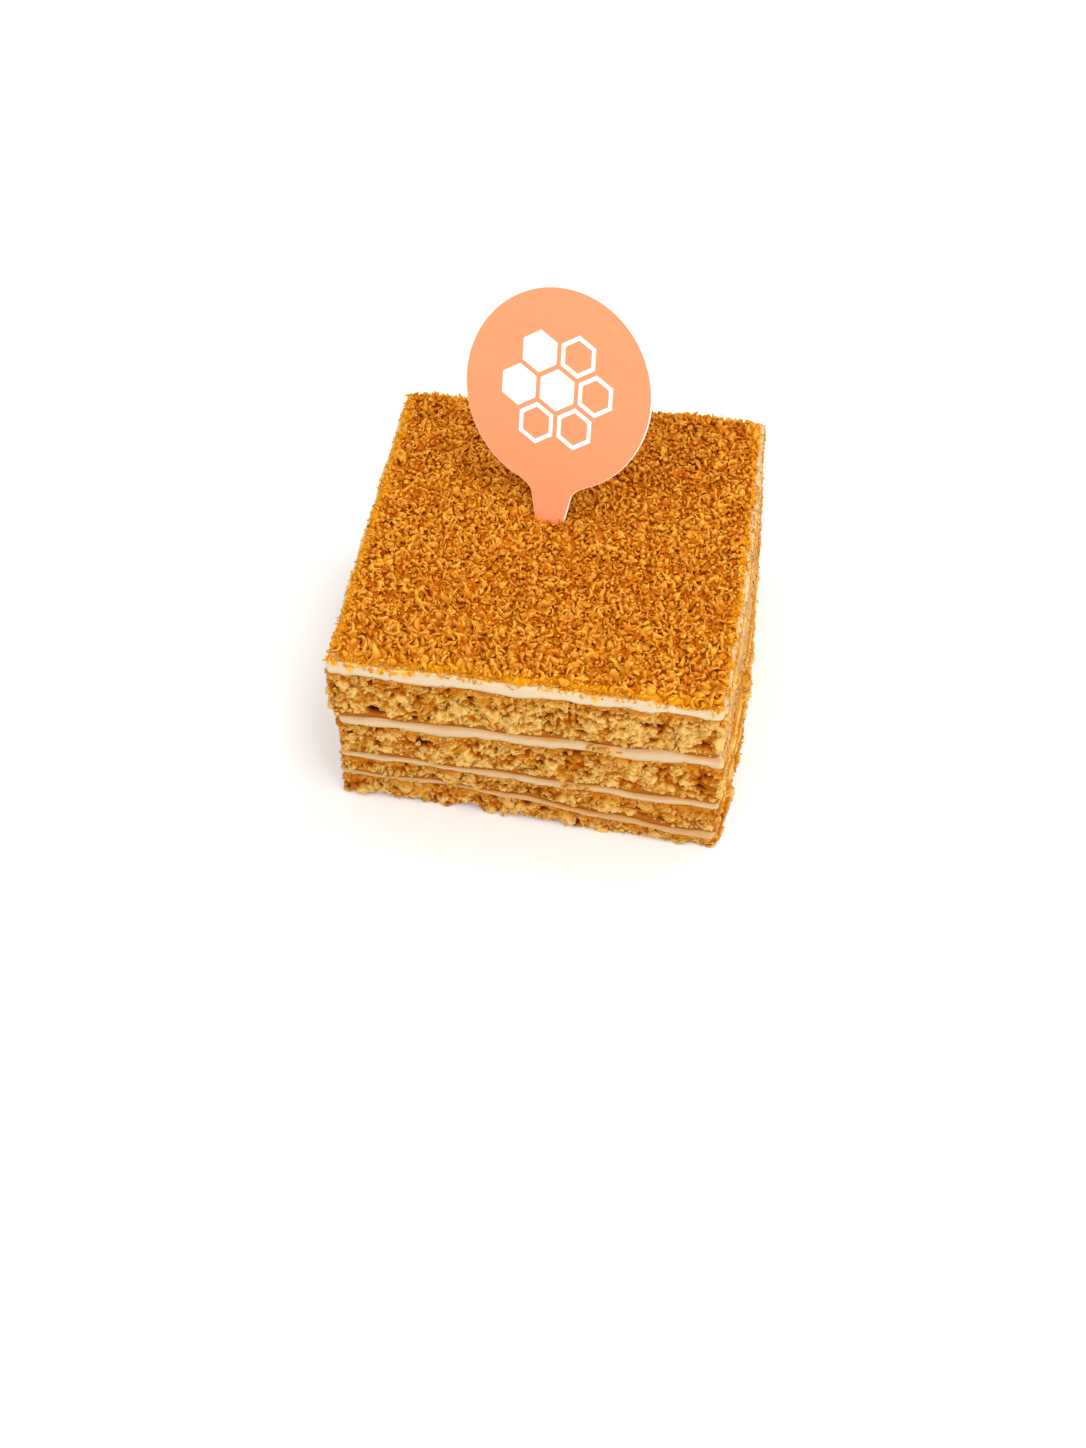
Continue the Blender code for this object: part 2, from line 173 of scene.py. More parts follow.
# The four sheets are thin honey sponge, baked from butter, honey and flour, and each rests on the one
# below with cream between. The knife tears the open crumb into lumps and holes, the underside keeps its
# brown baked skin, and the cream above soaks the top golden.

TOP_CORNERS = np.array(((-37.3, -36.6), (37.3, -36.4), (36.4, 38.2), (-36.6, 34.8)))
BASE_CORNERS = np.array(((-37.9, -35.6), (38.3, -36.9), (37.6, 37.6), (-37.4, 35.0)))
HALF_WIDTH = 37.0
RIGHT_BOW = (2.3, 0.8)
SPONGE_THICKNESS = (5.4, 6.5, 10.8, 12.5)
CREAM_THICKNESS = (1.3, 2.0, 2.8, 2.5)
SPONGE_TILT = (-1.4, -0.4, 2.6, 2.1)
CREAM_TILT = (-1.5, -0.3, 3.2, 1.0)
SPONGE_SLIP = (0.0, 0.0, 0.1, -0.6)
CREAM_SLIP = (-0.2, 0.4, 0.7, -0.4)
HUMP = 1.9  # how far the layers swell up along the front and back
HUMP_CREST_X = -14.0
HUMP_LENGTH = 100.0
HUMP_SHARE = (1.0, 0.9, 0.05, 0.0, 0.1, 0.15, 0.0, 0.2)  # of each layer's top, from the lowest up
RIPPLE = 0.28
RIPPLE_LENGTH = 19.0
RIPPLE_LENGTH_SIDES = 23.0
RIPPLE_STEP = 1.7
RIPPLE_LAG = 0.6
INNER_INSET = 8.0  # where the swell and the ripples have died away
SHEETS = len(SPONGE_THICKNESS)
CAKE_HEIGHT = sum(SPONGE_THICKNESS) + sum(CREAM_THICKNESS)
INSETS = (0.7, 1.6, 3.0, INNER_INSET)  # of the rings that close a layer above and below

CORNER_ROUNDING = 1.3
SPONGE_GRID = 0.34  # spacing of the points on a cut face
CRAG_SIZE, CRAG = 5.0, 0.5
TEAR_SIZE, TEAR = 1.6, 0.9  # how far the lumps are pulled out of shape
LUMP_SIZE, LUMP, LUMP_CRACK = 2.1, 0.95, 0.55
CRACK_RUN = 2.6  # how far a crack between two lumps goes on
BUBBLE_SIZE, BUBBLE = 1.25, 0.5
FUZZ_SIZE, FUZZ = 0.6, 0.14
HOLE_SPACING, HOLE_DEPTH = 2.3, 1.6
HOLE_RADIUS = (0.18, 0.36)  # shares of the spacing
OVERHANG_SIZE, OVERHANG = 1.5, 0.35
SKIN_HEIGHT, SKIN_RECESS = 1.25, 0.3
SOAKED_DEPTH = 3.0
ZONE_WAVE_SIZE, ZONE_RAG_SIZE = 3.2, 1.2  # of the skin's and the soaked band's edges
SKINLESS = 9.0  # puts the lowest sheet's skin out of reach: its crumb is bare
CAVITIES = ((-29.0, 31.0, 1.9, 1.0), (-20.0, 22.5, 2.2, 1.1), (24.0, 31.6, 1.1, 0.6))
CAVITY_DEPTH, CAVITY_RAG_SIZE = 2.6, 0.9
# Torn knobs on the right side: y and z, half of each one's width and height, and how far it stands out.
KNOBS = ((-12.0, 21.6, 2.6, 3.6, 1.9), (-28.5, 10.0, 1.4, 1.2, 1.2))
KNOB_RAG_SIZE = 1.1
FOOT_LIFT = (1.7, 0.9)  # how far the lowest edge stands clear, in broad and in fine waves
FOOT_LIFT_SIZE = (6.0, 1.7)
UNDERCUT_SIZE, UNDERCUT = 2.4, 0.3
# Painted highlight on the crumb that stands out most.
TIP_HIGHLIGHT = "#F3CB80"
PALE_CRUMB = "#E0B362"
TAN_CRUMB = "#C6861E"
SOAKED_CRUMB = "#C4780A"
BAKED_SKIN = "#AC640E"
# Painted shade: the tints that darken the sponge's hollows, cracks and holes, the deepest the most.
DIM_HOLLOW_SHADE = "#DEB05E"
DEEP_HOLLOW_SHADE = "#703200"


def level_height(level):
    return sum(SPONGE_THICKNESS[: (level + 1) // 2]) + sum(CREAM_THICKNESS[: level // 2])


def surface(level, x, y):
    """Height of a face between two layers: 0 is the base, odd ones top a sponge, even ones a cream."""
    if level == 0:
        return np.zeros_like(x)
    tilt = (SPONGE_TILT if level % 2 else CREAM_TILT)[(level - 1) // 2]
    reach = np.maximum(np.maximum(abs(x), abs(y)), 0.1)
    edge_x, edge_y = x * HALF_WIDTH / reach, y * HALF_WIDTH / reach
    phase = RIPPLE_STEP * (level // 2) + RIPPLE_LAG * (level % 2)
    swell = HUMP * HUMP_SHARE[level - 1] * np.cos(2 * np.pi * (edge_x - HUMP_CREST_X) / HUMP_LENGTH)
    along = np.sin(2 * np.pi * edge_x / RIPPLE_LENGTH + phase)
    across = np.sin(2 * np.pi * edge_y / RIPPLE_LENGTH_SIDES - phase)
    settling = np.minimum(1.0, (HALF_WIDTH - reach) / INNER_INSET)
    plane = level_height(level) + tilt * x / (2 * HALF_WIDTH)
    return plane + (1 - settling) * (swell + RIPPLE * (along + across))


def cell_random(cell, seed):
    """A repeatable number from 0 to 1 for each whole-number cell of space."""
    mixed = cell[..., 0] * 374761393 + cell[..., 1] * 668265263 + cell[..., 2] * 1440662683 + seed * 97531
    mixed &= 0xFFFFFFFF
    mixed = ((mixed ^ (mixed >> 13)) * 1274126177) & 0xFFFFFFFF
    return (mixed ^ (mixed >> 16)) / 4294967296.0


def soft_noise(points, size, seed):
    """Smooth hills and hollows of that size, from -1 to 1."""
    whole = np.floor(points / size).astype(np.int64)
    part = points / size - whole
    part = part * part * (3 - 2 * part)
    total = np.zeros(len(points))
    for corner in itertools.product((0, 1), repeat=3):
        weight = np.prod(np.where(corner, part, 1 - part), axis=1)
        total += weight * cell_random(whole + corner, seed)
    return 2 * total - 1


def clumps(points, size, seed):
    """Distances to the two nearest of randomly strewn centres, in sizes, and the nearest one's number."""
    whole = np.floor(points / size).astype(np.int64)
    nearest = np.full(len(points), 9.0)
    second, own = nearest.copy(), np.zeros(len(points))
    for step in itertools.product((-1, 0, 1), repeat=3):
        cell = whole + step
        centre = cell + np.stack([cell_random(cell, seed + k) for k in (1, 2, 3)], axis=1)
        gap = np.linalg.norm(points / size - centre, axis=1)
        own = np.where(gap < nearest, cell_random(cell, seed), own)
        second = np.where(gap < nearest, nearest, np.minimum(second, gap))
        nearest = np.minimum(nearest, gap)
    return nearest, second, own


def smooth_step(value):
    value = np.clip(value, 0, 1)
    return value * value * (3 - 2 * value)


def bow(height, share):
    """How far the right side stands out of line, that share of the way from front to back."""
    base, top = RIGHT_BOW
    return (base + (top - base) * min(1.0, height / CAKE_HEIGHT)) * np.sin(np.pi * share)


def cut_rim(height, slip, spacing):
    """Points round the cut edge, anticlockwise from the front left, and which way is out at each."""
    corners = BASE_CORNERS + (TOP_CORNERS - BASE_CORNERS) * min(1.0, height / CAKE_HEIGHT) + (slip, 0.0)
    runs = []
    for start, end in zip(corners, np.roll(corners, -1, axis=0)):
        count = round(np.linalg.norm(end - start) / spacing)
        runs.append(start + (end - start) * np.arange(count)[:, None] / count)
    runs[1][:, 0] += bow(height, np.arange(len(runs[1])) / len(runs[1]))
    rim = np.concatenate(runs)
    reach = round(CORNER_ROUNDING / spacing)
    rim = sum(np.roll(rim, k, axis=0) for k in range(-reach, reach + 1)) / (2 * reach + 1)
    along = np.roll(rim, -1, axis=0) - np.roll(rim, 1, axis=0)
    along /= np.linalg.norm(along, axis=1)[:, None]
    return rim, np.stack([along[:, 1], -along[:, 0]], axis=1)


def dome(near):
    """A round top over each clump's middle."""
    return np.clip(1 - (near / 0.85) ** 2, 0, 1) ** 0.35


def torn_crumb(points, share, sheet):
    """How far the torn crumb stands out, its depth and tone, and its shares of baked skin and of soak.

    The points are on a sheet's cut face, at those shares of its thickness from the underside up.
    The tone is partly each lump's own and partly painted shade, lighter where the crumb stands out.
    """
    seed = 40 * sheet + 7
    crag = CRAG * soft_noise(points, CRAG_SIZE, seed)
    pull = np.stack([soft_noise(points, TEAR_SIZE, seed + k) for k in (31, 32, 33)], axis=1)
    near, second, size = clumps(points + TEAR * pull, LUMP_SIZE, seed)
    ragged = np.clip(0.6 + 0.9 * soft_noise(points, CRACK_RUN, seed + 34), 0, 1)
    crack = (1 - smooth_step((second - near) / 0.3)) * ragged
    lump = dome(near) * (0.3 + 0.7 * size) - 0.5
    near, second, openness = clumps(points + 0.5 * pull, BUBBLE_SIZE, seed + 10)
    wall = 1 - smooth_step((second - near) / 0.4)
    bubble = (wall - 0.4) * (0.3 + 0.7 * openness)
    near, _, width = clumps(points * (0.75, 0.75, 1.2) + 0.5 * pull, HOLE_SPACING, seed + 20)
    radius = HOLE_RADIUS[0] + (HOLE_RADIUS[1] - HOLE_RADIUS[0]) * width
    hole = HOLE_DEPTH * smooth_step(1.8 * (1 - near / radius)) * (width > 0.3)
    fuzz = FUZZ * soft_noise(points, FUZZ_SIZE, seed + 35)
    body = LUMP * lump - LUMP_CRACK * crack + BUBBLE * bubble - hole + fuzz
    front = points[:, 1] < 0
    for x, z, half_width, half_height in CAVITIES:
        away = np.hypot((points[:, 0] - x) / half_width, (points[:, 2] - z) / half_height)
        away += 0.35 * soft_noise(points, CAVITY_RAG_SIZE, seed + 30)
        body -= CAVITY_DEPTH * smooth_step(1.5 * (1 - away)) * front
    knob = np.zeros(len(points))
    for y, z, half_width, half_height, proud in KNOBS:
        away = np.hypot((points[:, 1] - y) / half_width, (points[:, 2] - z) / half_height)
        away += 0.5 * soft_noise(points, KNOB_RAG_SIZE, seed + 36)
        knob += proud * smooth_step(1.3 * (1 - away)) * (points[:, 0] > 0)
    skin, soaked = sheet_zones(points, share, sheet, seed)
    body = body * (1 - 0.4 * soaked) * (1 - 0.92 * skin)
    # Painted shade: the tone is lighter where the crumb stands out and darker in its hollows, besides
    # each lump's own random part.
    tone = np.clip(0.5 + 0.5 * body + 0.35 * (size - 0.5) + 0.35 * (wall - 0.5), 0, 1)
    crag = crag * (1 - 0.7 * skin) * (1 - 0.4 * soaked) + knob
    return crag + body - SKIN_RECESS * skin, -body, tone, skin, soaked


def sheet_zones(points, share, sheet, seed):
    """How far each point belongs to the baked skin below and to the soaked band above."""
    above = share * SPONGE_THICKNESS[sheet] + (0.0 if sheet else SKINLESS)
    below = (1 - share) * SPONGE_THICKNESS[sheet]
    uneven = soft_noise(points, ZONE_WAVE_SIZE, seed + 40)
    ragged = soft_noise(points, ZONE_RAG_SIZE, seed + 41)
    skin = smooth_step((SKIN_HEIGHT * (1 + 0.4 * uneven + 0.5 * ragged) - above) / 0.3 + 0.5)
    soaked = smooth_step((SOAKED_DEPTH * (1 + 0.6 * uneven) - below) / SOAKED_DEPTH)
    return skin, soaked


def ring_faces(total, columns):
    """Quads between rings of so many of the points, stacked from the bottom up, with both ends closed."""
    here = np.arange(total).reshape(-1, columns)
    onward = np.roll(here, -1, axis=1)
    quads = np.stack([here[:-1], onward[:-1], onward[1:], here[1:]], axis=2).reshape(-1, 4)
    return [*quads.tolist(), here[0, ::-1].tolist(), here[-1].tolist()]


def closed_layer(wall, lower, upper):
    """A layer's points and faces: its wall's rings, and rings that lead in to the middle at both ends."""
    ends = []
    for ring, level in ((wall[0], lower), (wall[-1], upper)):
        lift = ring[:, 2] - surface(level, ring[:, 0], ring[:, 1])
        reach = abs(ring[:, :2]).max(axis=1)
        further = []
        for inset in INSETS:
            x, y = ring[:, :2].T * (1 - inset / reach)
            further.append(np.column_stack([x, y, surface(level, x, y) + lift]))
        ends.append(further)
    points = np.concatenate([*ends[0][::-1], *wall, *ends[1]])
    return points, ring_faces(len(points), len(wall[0]))


def note(piece, name, values):
    """Stores a number for each point, for the material to read."""
    attribute = piece.data.attributes.new(name, "FLOAT", "POINT")
    attribute.data.foreach_set("value", np.asarray(values, dtype=np.float32))


def underside(sheet, x, y):
    """Height of a sheet's lower edge. The lowest one's is ragged and in places stands a little clear."""
    if sheet:
        return surface(2 * sheet, x, y)
    points = np.stack([x, y, np.zeros_like(x)], axis=1)
    broad, fine = (soft_noise(points, size, 5) for size in FOOT_LIFT_SIZE)
    return FOOT_LIFT[0] * np.clip(0.1 + broad, 0, 1) + FOOT_LIFT[1] * np.clip(fine, 0, 1)


# Baked honey sponge: a matt open crumb, pale inside, a caramel skin below and a wet golden band above.
# Its colour also holds painted light: painted shade in the hollows and cracks, and a lighter tone and a
# painted highlight where the crumb stands out.
baked_sponge = new_material("baked_honey_sponge")
sponge_place = (add(baked_sponge, "TexCoord"), "Object")
tone_and_light_note, soaked_note, skin_note, depth_note = (
    (add(baked_sponge, "Attribute", {"attribute_name": name}), "Fac")
    for name in ("tone", "soaked", "skin", "depth")
)
patches = add(
    baked_sponge,
    "TexNoise",
    {"Scale": 1 / (4.5 * MM), "Detail": 3.0, "Roughness": 0.6},
    {"Vector": sponge_place},
)
patch_share = add(baked_sponge, "MapRange", {"From Min": 0.36, "From Max": 0.64}, {"Value": patches})
crumb_shade = add(baked_sponge, "MixRGB", {"Fac": 0.7}, {"Color1": patch_share, "Color2": tone_and_light_note})
crumb_colour = add(
    baked_sponge,
    "ValToRGB",
    {"stops": ((0.1, SOAKED_CRUMB), (0.4, TAN_CRUMB), (0.75, PALE_CRUMB))},
    {"Fac": crumb_shade},
)
for zone, colour in ((soaked_note, SOAKED_CRUMB), (skin_note, BAKED_SKIN)):
    crumb_colour = add(
        baked_sponge, "MixRGB", {"Color2": linear(colour)}, {"Fac": zone, "Color1": crumb_colour}
    )
# Painted highlight: the crumb that stands out most is lightened towards the highlight colour.
highlight_share = add(
    baked_sponge,
    "MapRange",
    {"From Min": -0.35, "From Max": -0.9, "To Max": 0.5},
    {"Value": depth_note},
)
with_highlights = add(
    baked_sponge, "MixRGB", {"Color2": linear(TIP_HIGHLIGHT)}, {"Fac": highlight_share, "Color1": crumb_colour}
)
# Painted shade: the deeper the crumb lies, the darker its colour is multiplied.
hollow_shade_share = add(baked_sponge, "MapRange", {"From Min": -0.3, "From Max": 1.1}, {"Value": depth_note})
painted_hollow_shade = add(
    baked_sponge,
    "ValToRGB",
    {"stops": ((0.1, "#FFFFFF"), (0.5, DIM_HOLLOW_SHADE), (1.0, DEEP_HOLLOW_SHADE))},
    {"Fac": hollow_shade_share},
)
with_hollow_shade = add(
    baked_sponge,
    "MixRGB",
    {"blend_type": "MULTIPLY", "Fac": 1.0},
    {"Color1": with_highlights, "Color2": painted_hollow_shade},
)
fine_grains = add(baked_sponge, "TexVoronoi", {"Scale": 1 / (0.62 * MM)}, {"Vector": sponge_place})
fine_crumb = add(
    baked_sponge, "TexNoise", {"Scale": 1 / (0.4 * MM), "Detail": 3.0}, {"Vector": sponge_place}
)
fine_height = add(
    baked_sponge, "Math", {"operation": "ADD"}, {0: fine_crumb, 1: (fine_grains, "Distance")}
)
sponge_bump = add(baked_sponge, "Bump", {"Strength": 0.8, "Distance": 0.00025}, {"Height": fine_height})
sponge_roughness = add(baked_sponge, "MapRange", {"To Min": 0.7, "To Max": 0.42}, {"Value": skin_note})
add(
    baked_sponge,
    "Principled BSDF",
    {
        "IOR": 1.42,
        "Specular IOR Level": 0.06,
        "Subsurface Weight": 0.15,
        "Subsurface Radius": (1.0, 0.5, 0.2),
        "Subsurface Scale": 0.0006,
    },
    {"Base Color": with_hollow_shade, "Roughness": sponge_roughness, "Normal": sponge_bump},
)

for sheet in range(SHEETS):
    lower, upper = 2 * sheet, 2 * sheet + 1
    low, high = level_height(lower), level_height(upper)
    rim, outward = cut_rim((low + high) / 2, SPONGE_SLIP[sheet], SPONGE_GRID)
    columns = len(rim)
    rows = round((high - low) / SPONGE_GRID) + 1
    share = np.repeat(np.linspace(0, 1, rows), columns)
    seat = np.column_stack([np.tile(rim, (rows, 1)), low + share * (high - low)])
    facing = np.tile(outward, (rows, 1))
    relief, depth, tone, skin, soaked = torn_crumb(seat, share, sheet)
    if sheet == 0:
        relief -= UNDERCUT * smooth_step(1 - share * 3) * (0.5 + soft_noise(seat, UNDERCUT_SIZE, 9))
    x, y = (seat[:, :2] + facing * relief[:, None]).T
    bottom = underside(sheet, x, y)
    sag = OVERHANG * soft_noise(seat, OVERHANG_SIZE, 40 * sheet + 9) * np.sin(np.pi * share) * (1 - skin)
    z = bottom + share * (surface(upper, x, y) - bottom) + sag
    wall = np.column_stack([x, y, z]).reshape(rows, columns, 3)
    points, faces = closed_layer(wall, lower, upper)
    sponge = new_piece(f"honey_sponge_{sheet + 1}", points, faces, baked_sponge)
    hidden = np.zeros(len(INSETS) * columns)
    for name, values in {"depth": depth, "tone": tone, "skin": skin, "soaked": 0.95 * soaked}.items():
        note(sponge, name, np.concatenate([hidden, values, hidden]))
    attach(sponge, "root")
    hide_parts(f"sponge_{sheet + 1}")

# The filling is whipped sour cream, spread on each sheet and chilled until it set. The knife leaves it
# smooth, and it takes up honey where it touches the sponge. The darker band along its top and bottom
# edges is partly that honey and partly painted shade. The top coat is the whitest.

CREAM_GRID = 0.55
CREAM_ROWS = 9
CREAM_LIP = 0.5
CREAM_SETBACK = (0.65, 0.6, 0.6, 0.35)  # how far each coat lies back, in lips
CREAM_AGE = (0.8, 0.5, 0.36, 0.0)  # how much honey each coat has taken up
CREAM_WANDER, CREAM_WANDER_SIZE = 0.3, 6.0
CREAM_TUCK = 0.8  # how far it lies back under the crumb of the right side
CREAM_SWELL = 0.05  # how far it presses into the crumb above and below
CREAM_DIMPLE, CREAM_DIMPLE_SIZE = 0.14, 2.4
CREAM_SCALLOP, CREAM_SCALLOP_SIZE = 0.3, 2.6  # how far its lower lip hangs over the crumb, as a share
CREAM_PINCH, CREAM_PINCH_SIZE = 0.14, 3.6  # how its thickness changes along the cut, as a share
# Where honey runs down the top coat: x, and how far down as a share of the coat.
CREAM_DRIPS = ((-33.0, 0.8), (-22.5, 0.4), (13.0, 0.6), (31.0, 0.3))
DRIP_WIDTH = 0.7
DRIP_EDGE = (0.25, 0.2, 0.15)  # the golden rim above the drips: its share, and its fine and broad waves
DRIP_EDGE_SIZE = (1.6, 5.0)
FRESH_CREAM = "#D2BF9C"
HONEYED_CREAM = "#BE9054"
STAINED_AND_SHADED_CREAM = "#C4842C"
GOLDEN_CREAM = "#E8A628"
# Where crumb and honey are smeared over a coat's front: the coat, x and its spread, the share of the
# coat's thickness and its spread, and how many bits of crumb.
SMEARS = (
    (0, -15.4, 0.8, 0.5, 0.6, 12),
    (1, 8.0, 1.4, 0.7, 0.4, 12),
    (1, 11.2, 2.0, 0.35, 0.4, 16),
    (1, -5.5, 3.6, 0.1, 0.35, 40),
    (2, 14.5, 2.8, 0.65, 0.45, 26),
)


def cream_face(rim, outward, share, sheet):
    """Where a coat's cut face stands at points of the rim, at those shares of its thickness."""
    middle = (level_height(2 * sheet + 1) + level_height(2 * sheet + 2)) / 2
    seat = np.column_stack([rim, np.full(len(rim), middle)])
    lip = CREAM_LIP * (np.sin(np.pi * np.clip(share, 0.01, 0.99)) ** 0.4 - CREAM_SETBACK[sheet])
    lip += CREAM_WANDER * soft_noise(seat, CREAM_WANDER_SIZE, 60 + sheet)
    lip += CREAM_DIMPLE * soft_noise(seat + (0, 0, 1) * share[:, None] * 3, CREAM_DIMPLE_SIZE, 64 + sheet)
    lip -= 0.0 if sheet == SHEETS - 1 else CREAM_TUCK * np.clip(outward[:, 0], 0, 1)
    return rim + outward * lip[:, None]


# Set sour cream: a smooth satin fat that light enters, so its edges glow and its shadows stay warm.
sour_cream = new_material("set_sour_cream")
edge_note, age_note, golden_note = (
    (add(sour_cream, "Attribute", {"attribute_name": name}), "Fac")
    for name in ("edge", "age", "golden")
)
cream_place = (add(sour_cream, "TexCoord"), "Object")
smears = add(sour_cream, "TexNoise", {"Scale": 1 / (7.0 * MM), "Detail": 3.0}, {"Vector": cream_place})
honeyed = add(
    sour_cream,
    "MixRGB",
    {"Color1": linear(FRESH_CREAM), "Color2": linear(HONEYED_CREAM)},
    {"Fac": age_note},
)
smear_share = add(
    sour_cream,
    "MapRange",
    {"From Min": 0.35, "From Max": 0.8, "To Min": 0.4, "To Max": 1.5},
    {"Value": smears},
)
stain_and_shade_share = add(
    sour_cream, "Math", {"operation": "MULTIPLY", "use_clamp": True}, {0: edge_note, 1: smear_share}
)
stained_and_shaded = add(
    sour_cream, "MixRGB", {"Color2": linear(STAINED_AND_SHADED_CREAM)}, {"Fac": stain_and_shade_share, "Color1": honeyed}
)
with_gold = add(
    sour_cream, "MixRGB", {"Color2": linear(GOLDEN_CREAM)}, {"Fac": golden_note, "Color1": stained_and_shaded}
)
knife_marks = add(
    sour_cream, "TexNoise", {"Scale": 1 / (1.4 * MM), "Detail": 2.0}, {"Vector": cream_place}
)
cream_bump = add(sour_cream, "Bump", {"Strength": 0.25, "Distance": 0.0001}, {"Height": knife_marks})
add(
    sour_cream,
    "Principled BSDF",
    {
        "Roughness": 0.38,
        "IOR": 1.45,
        "Subsurface Weight": 0.35,
        "Subsurface Radius": (1.0, 0.8, 0.6),
        "Subsurface Scale": 0.0015,
    },
    {"Base Color": with_gold, "Normal": cream_bump},
)

for sheet in range(SHEETS):
    lower, upper = 2 * sheet + 1, 2 * sheet + 2
    low, high = level_height(lower), level_height(upper)
    rim, outward = cut_rim((low + high) / 2, CREAM_SLIP[sheet], CREAM_GRID)
    columns = len(rim)
    top_coat = sheet == SHEETS - 1
    share = np.repeat(np.linspace(0, 1, CREAM_ROWS), columns)
    seat = np.column_stack([np.tile(rim, (CREAM_ROWS, 1)), np.full(len(share), (low + high) / 2)])
    facing = np.tile(outward, (CREAM_ROWS, 1))
    x, y = cream_face(seat[:, :2], facing, share, sheet).T
    bottom = surface(lower, x, y) - CREAM_SWELL
    top = surface(upper, x, y) + (0.0 if top_coat else CREAM_SWELL)
    pinch = CREAM_PINCH * (top - bottom) * soft_noise(seat, CREAM_PINCH_SIZE, 70 + sheet) * (not top_coat)
    scallop = np.clip(soft_noise(seat, CREAM_SCALLOP_SIZE, 80 + sheet), 0, 1)
    scallop *= CREAM_SCALLOP * CREAM_THICKNESS[sheet]
    z = bottom + (pinch - scallop) * (1 - share) + share * (top - bottom) - pinch * share
    wall = np.column_stack([x, y, z]).reshape(CREAM_ROWS, columns, 3)
    points, faces = closed_layer(wall, lower, upper)
    from_face = share if top_coat else np.minimum(share, 1 - share)
    hidden = np.zeros(len(INSETS) * columns)
    cream = new_piece(f"sour_cream_{sheet + 1}", points, faces, sour_cream)
    rightward = np.clip(facing[:, 0], 0, 1)
    smeared = 0.9 * rightward * (1 - 0.5 * share if top_coat else 1)
    # The darker band along a coat's top and bottom edges is partly honey stain and partly painted shade.
    edge = np.clip(smooth_step(1 - from_face * 2.6) + smeared, 0, 1)
    note(cream, "edge", np.concatenate([hidden, edge, hidden]))
    fine, broad = (soft_noise(seat, size, 90 + k) for k, size in enumerate(DRIP_EDGE_SIZE))
    drip = DRIP_EDGE[0] + DRIP_EDGE[1] * fine + DRIP_EDGE[2] * broad
    for drip_x, length in CREAM_DRIPS:
        drip += length * np.exp(-(((x - drip_x) / DRIP_WIDTH) ** 2)) * (facing[:, 1] < -0.5)
    golden = smooth_step((share - 1 + drip) / 0.7) * (1 - rightward) * top_coat
    for coat, smear_x, spread, middle, share_spread, _ in SMEARS:
        gap = ((x - smear_x) / spread) ** 2 + ((share - middle) / share_spread) ** 2
        golden += np.exp(-gap) * (coat == sheet) * (facing[:, 1] < -0.5)
    outer_golden = 1 - 0.9 * rightward[:columns]
    inner_golden = np.concatenate([0.5 * outer_golden, outer_golden, np.ones(2 * columns)]) * top_coat
    note(cream, "golden", np.concatenate([hidden, golden, inner_golden]))
    note(cream, "age", np.full(len(points), CREAM_AGE[sheet]))
    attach(cream, "root")
    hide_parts(f"cream_{sheet + 1}")

# Torn bits of sponge cling to the cut faces, and hang over the cream in a few smears and along its lower
# edges. They are the same baked crumb as the sheets, broken off by the knife and held by the damp cream.

BITS = 7600
LEAF_SHARE = 0.55
BIT_RADIUS = (0.2, 0.5)
LEAF_RADIUS = (0.4, 0.95)
LEAF_SHAPE = np.array((1.0, 0.7, 1.0))
BIT_SHAPE = np.array((1.0, 0.85, 0.65))
BIT_CLEARANCE = 0.02  # least height over what the cake stands on
DRAG_BITS = 1800  # dragged over the cream by the knife, on the right side
FOOT_BITS = 900  # that poke over the lower edges of the coats
FOOT_BITS_REACH = (-0.325, 0.145)  # up from such an edge, as shares of the coat's thickness
KNOB_BITS = 12  # for each square millimetre of a knob's half width times its half height


def ball():
    """Corners and triangles of a rough ball."""
    bm = bmesh.new()
    bmesh.ops.create_icosphere(bm, subdivisions=1, radius=1.0)
    corners = np.array([vertex.co[:] for vertex in bm.verts])
    triangles = np.array([[vertex.index for vertex in face.verts] for face in bm.faces])
    bm.free()
    return corners, triangles


def flake(across, thickness):
    """Corners and faces of a round leaf, so many points by three on each face."""
    u, v = (grid.ravel() for grid in np.meshgrid(np.linspace(-1, 1, across), np.linspace(-1, 1, 3)))
    x, y = u * np.sqrt(1 - v * v / 2), v * np.sqrt(1 - u * u / 2)
    thick = thickness / 2 * (1 - 0.55 * np.hypot(x, y))
    corners = np.concatenate([np.column_stack([x, y, thick]), np.column_stack([x, y, -thick])])
    faces = []
    under = 3 * across
    for j, i in itertools.product(range(2), range(across - 1)):
        k = across * j + i
        quad = (k, k + 1, k + across + 1, k + across)
        faces += [quad, tuple(corner + under for corner in reversed(quad))]
    edge = [*range(across), 2 * across - 1, *range(under - 1, 2 * across - 1, -1), across]
    for k, following in zip(edge, edge[1:] + edge[:1]):
        faces.append((k + under, following + under, following, k))
    return corners, np.array(faces)


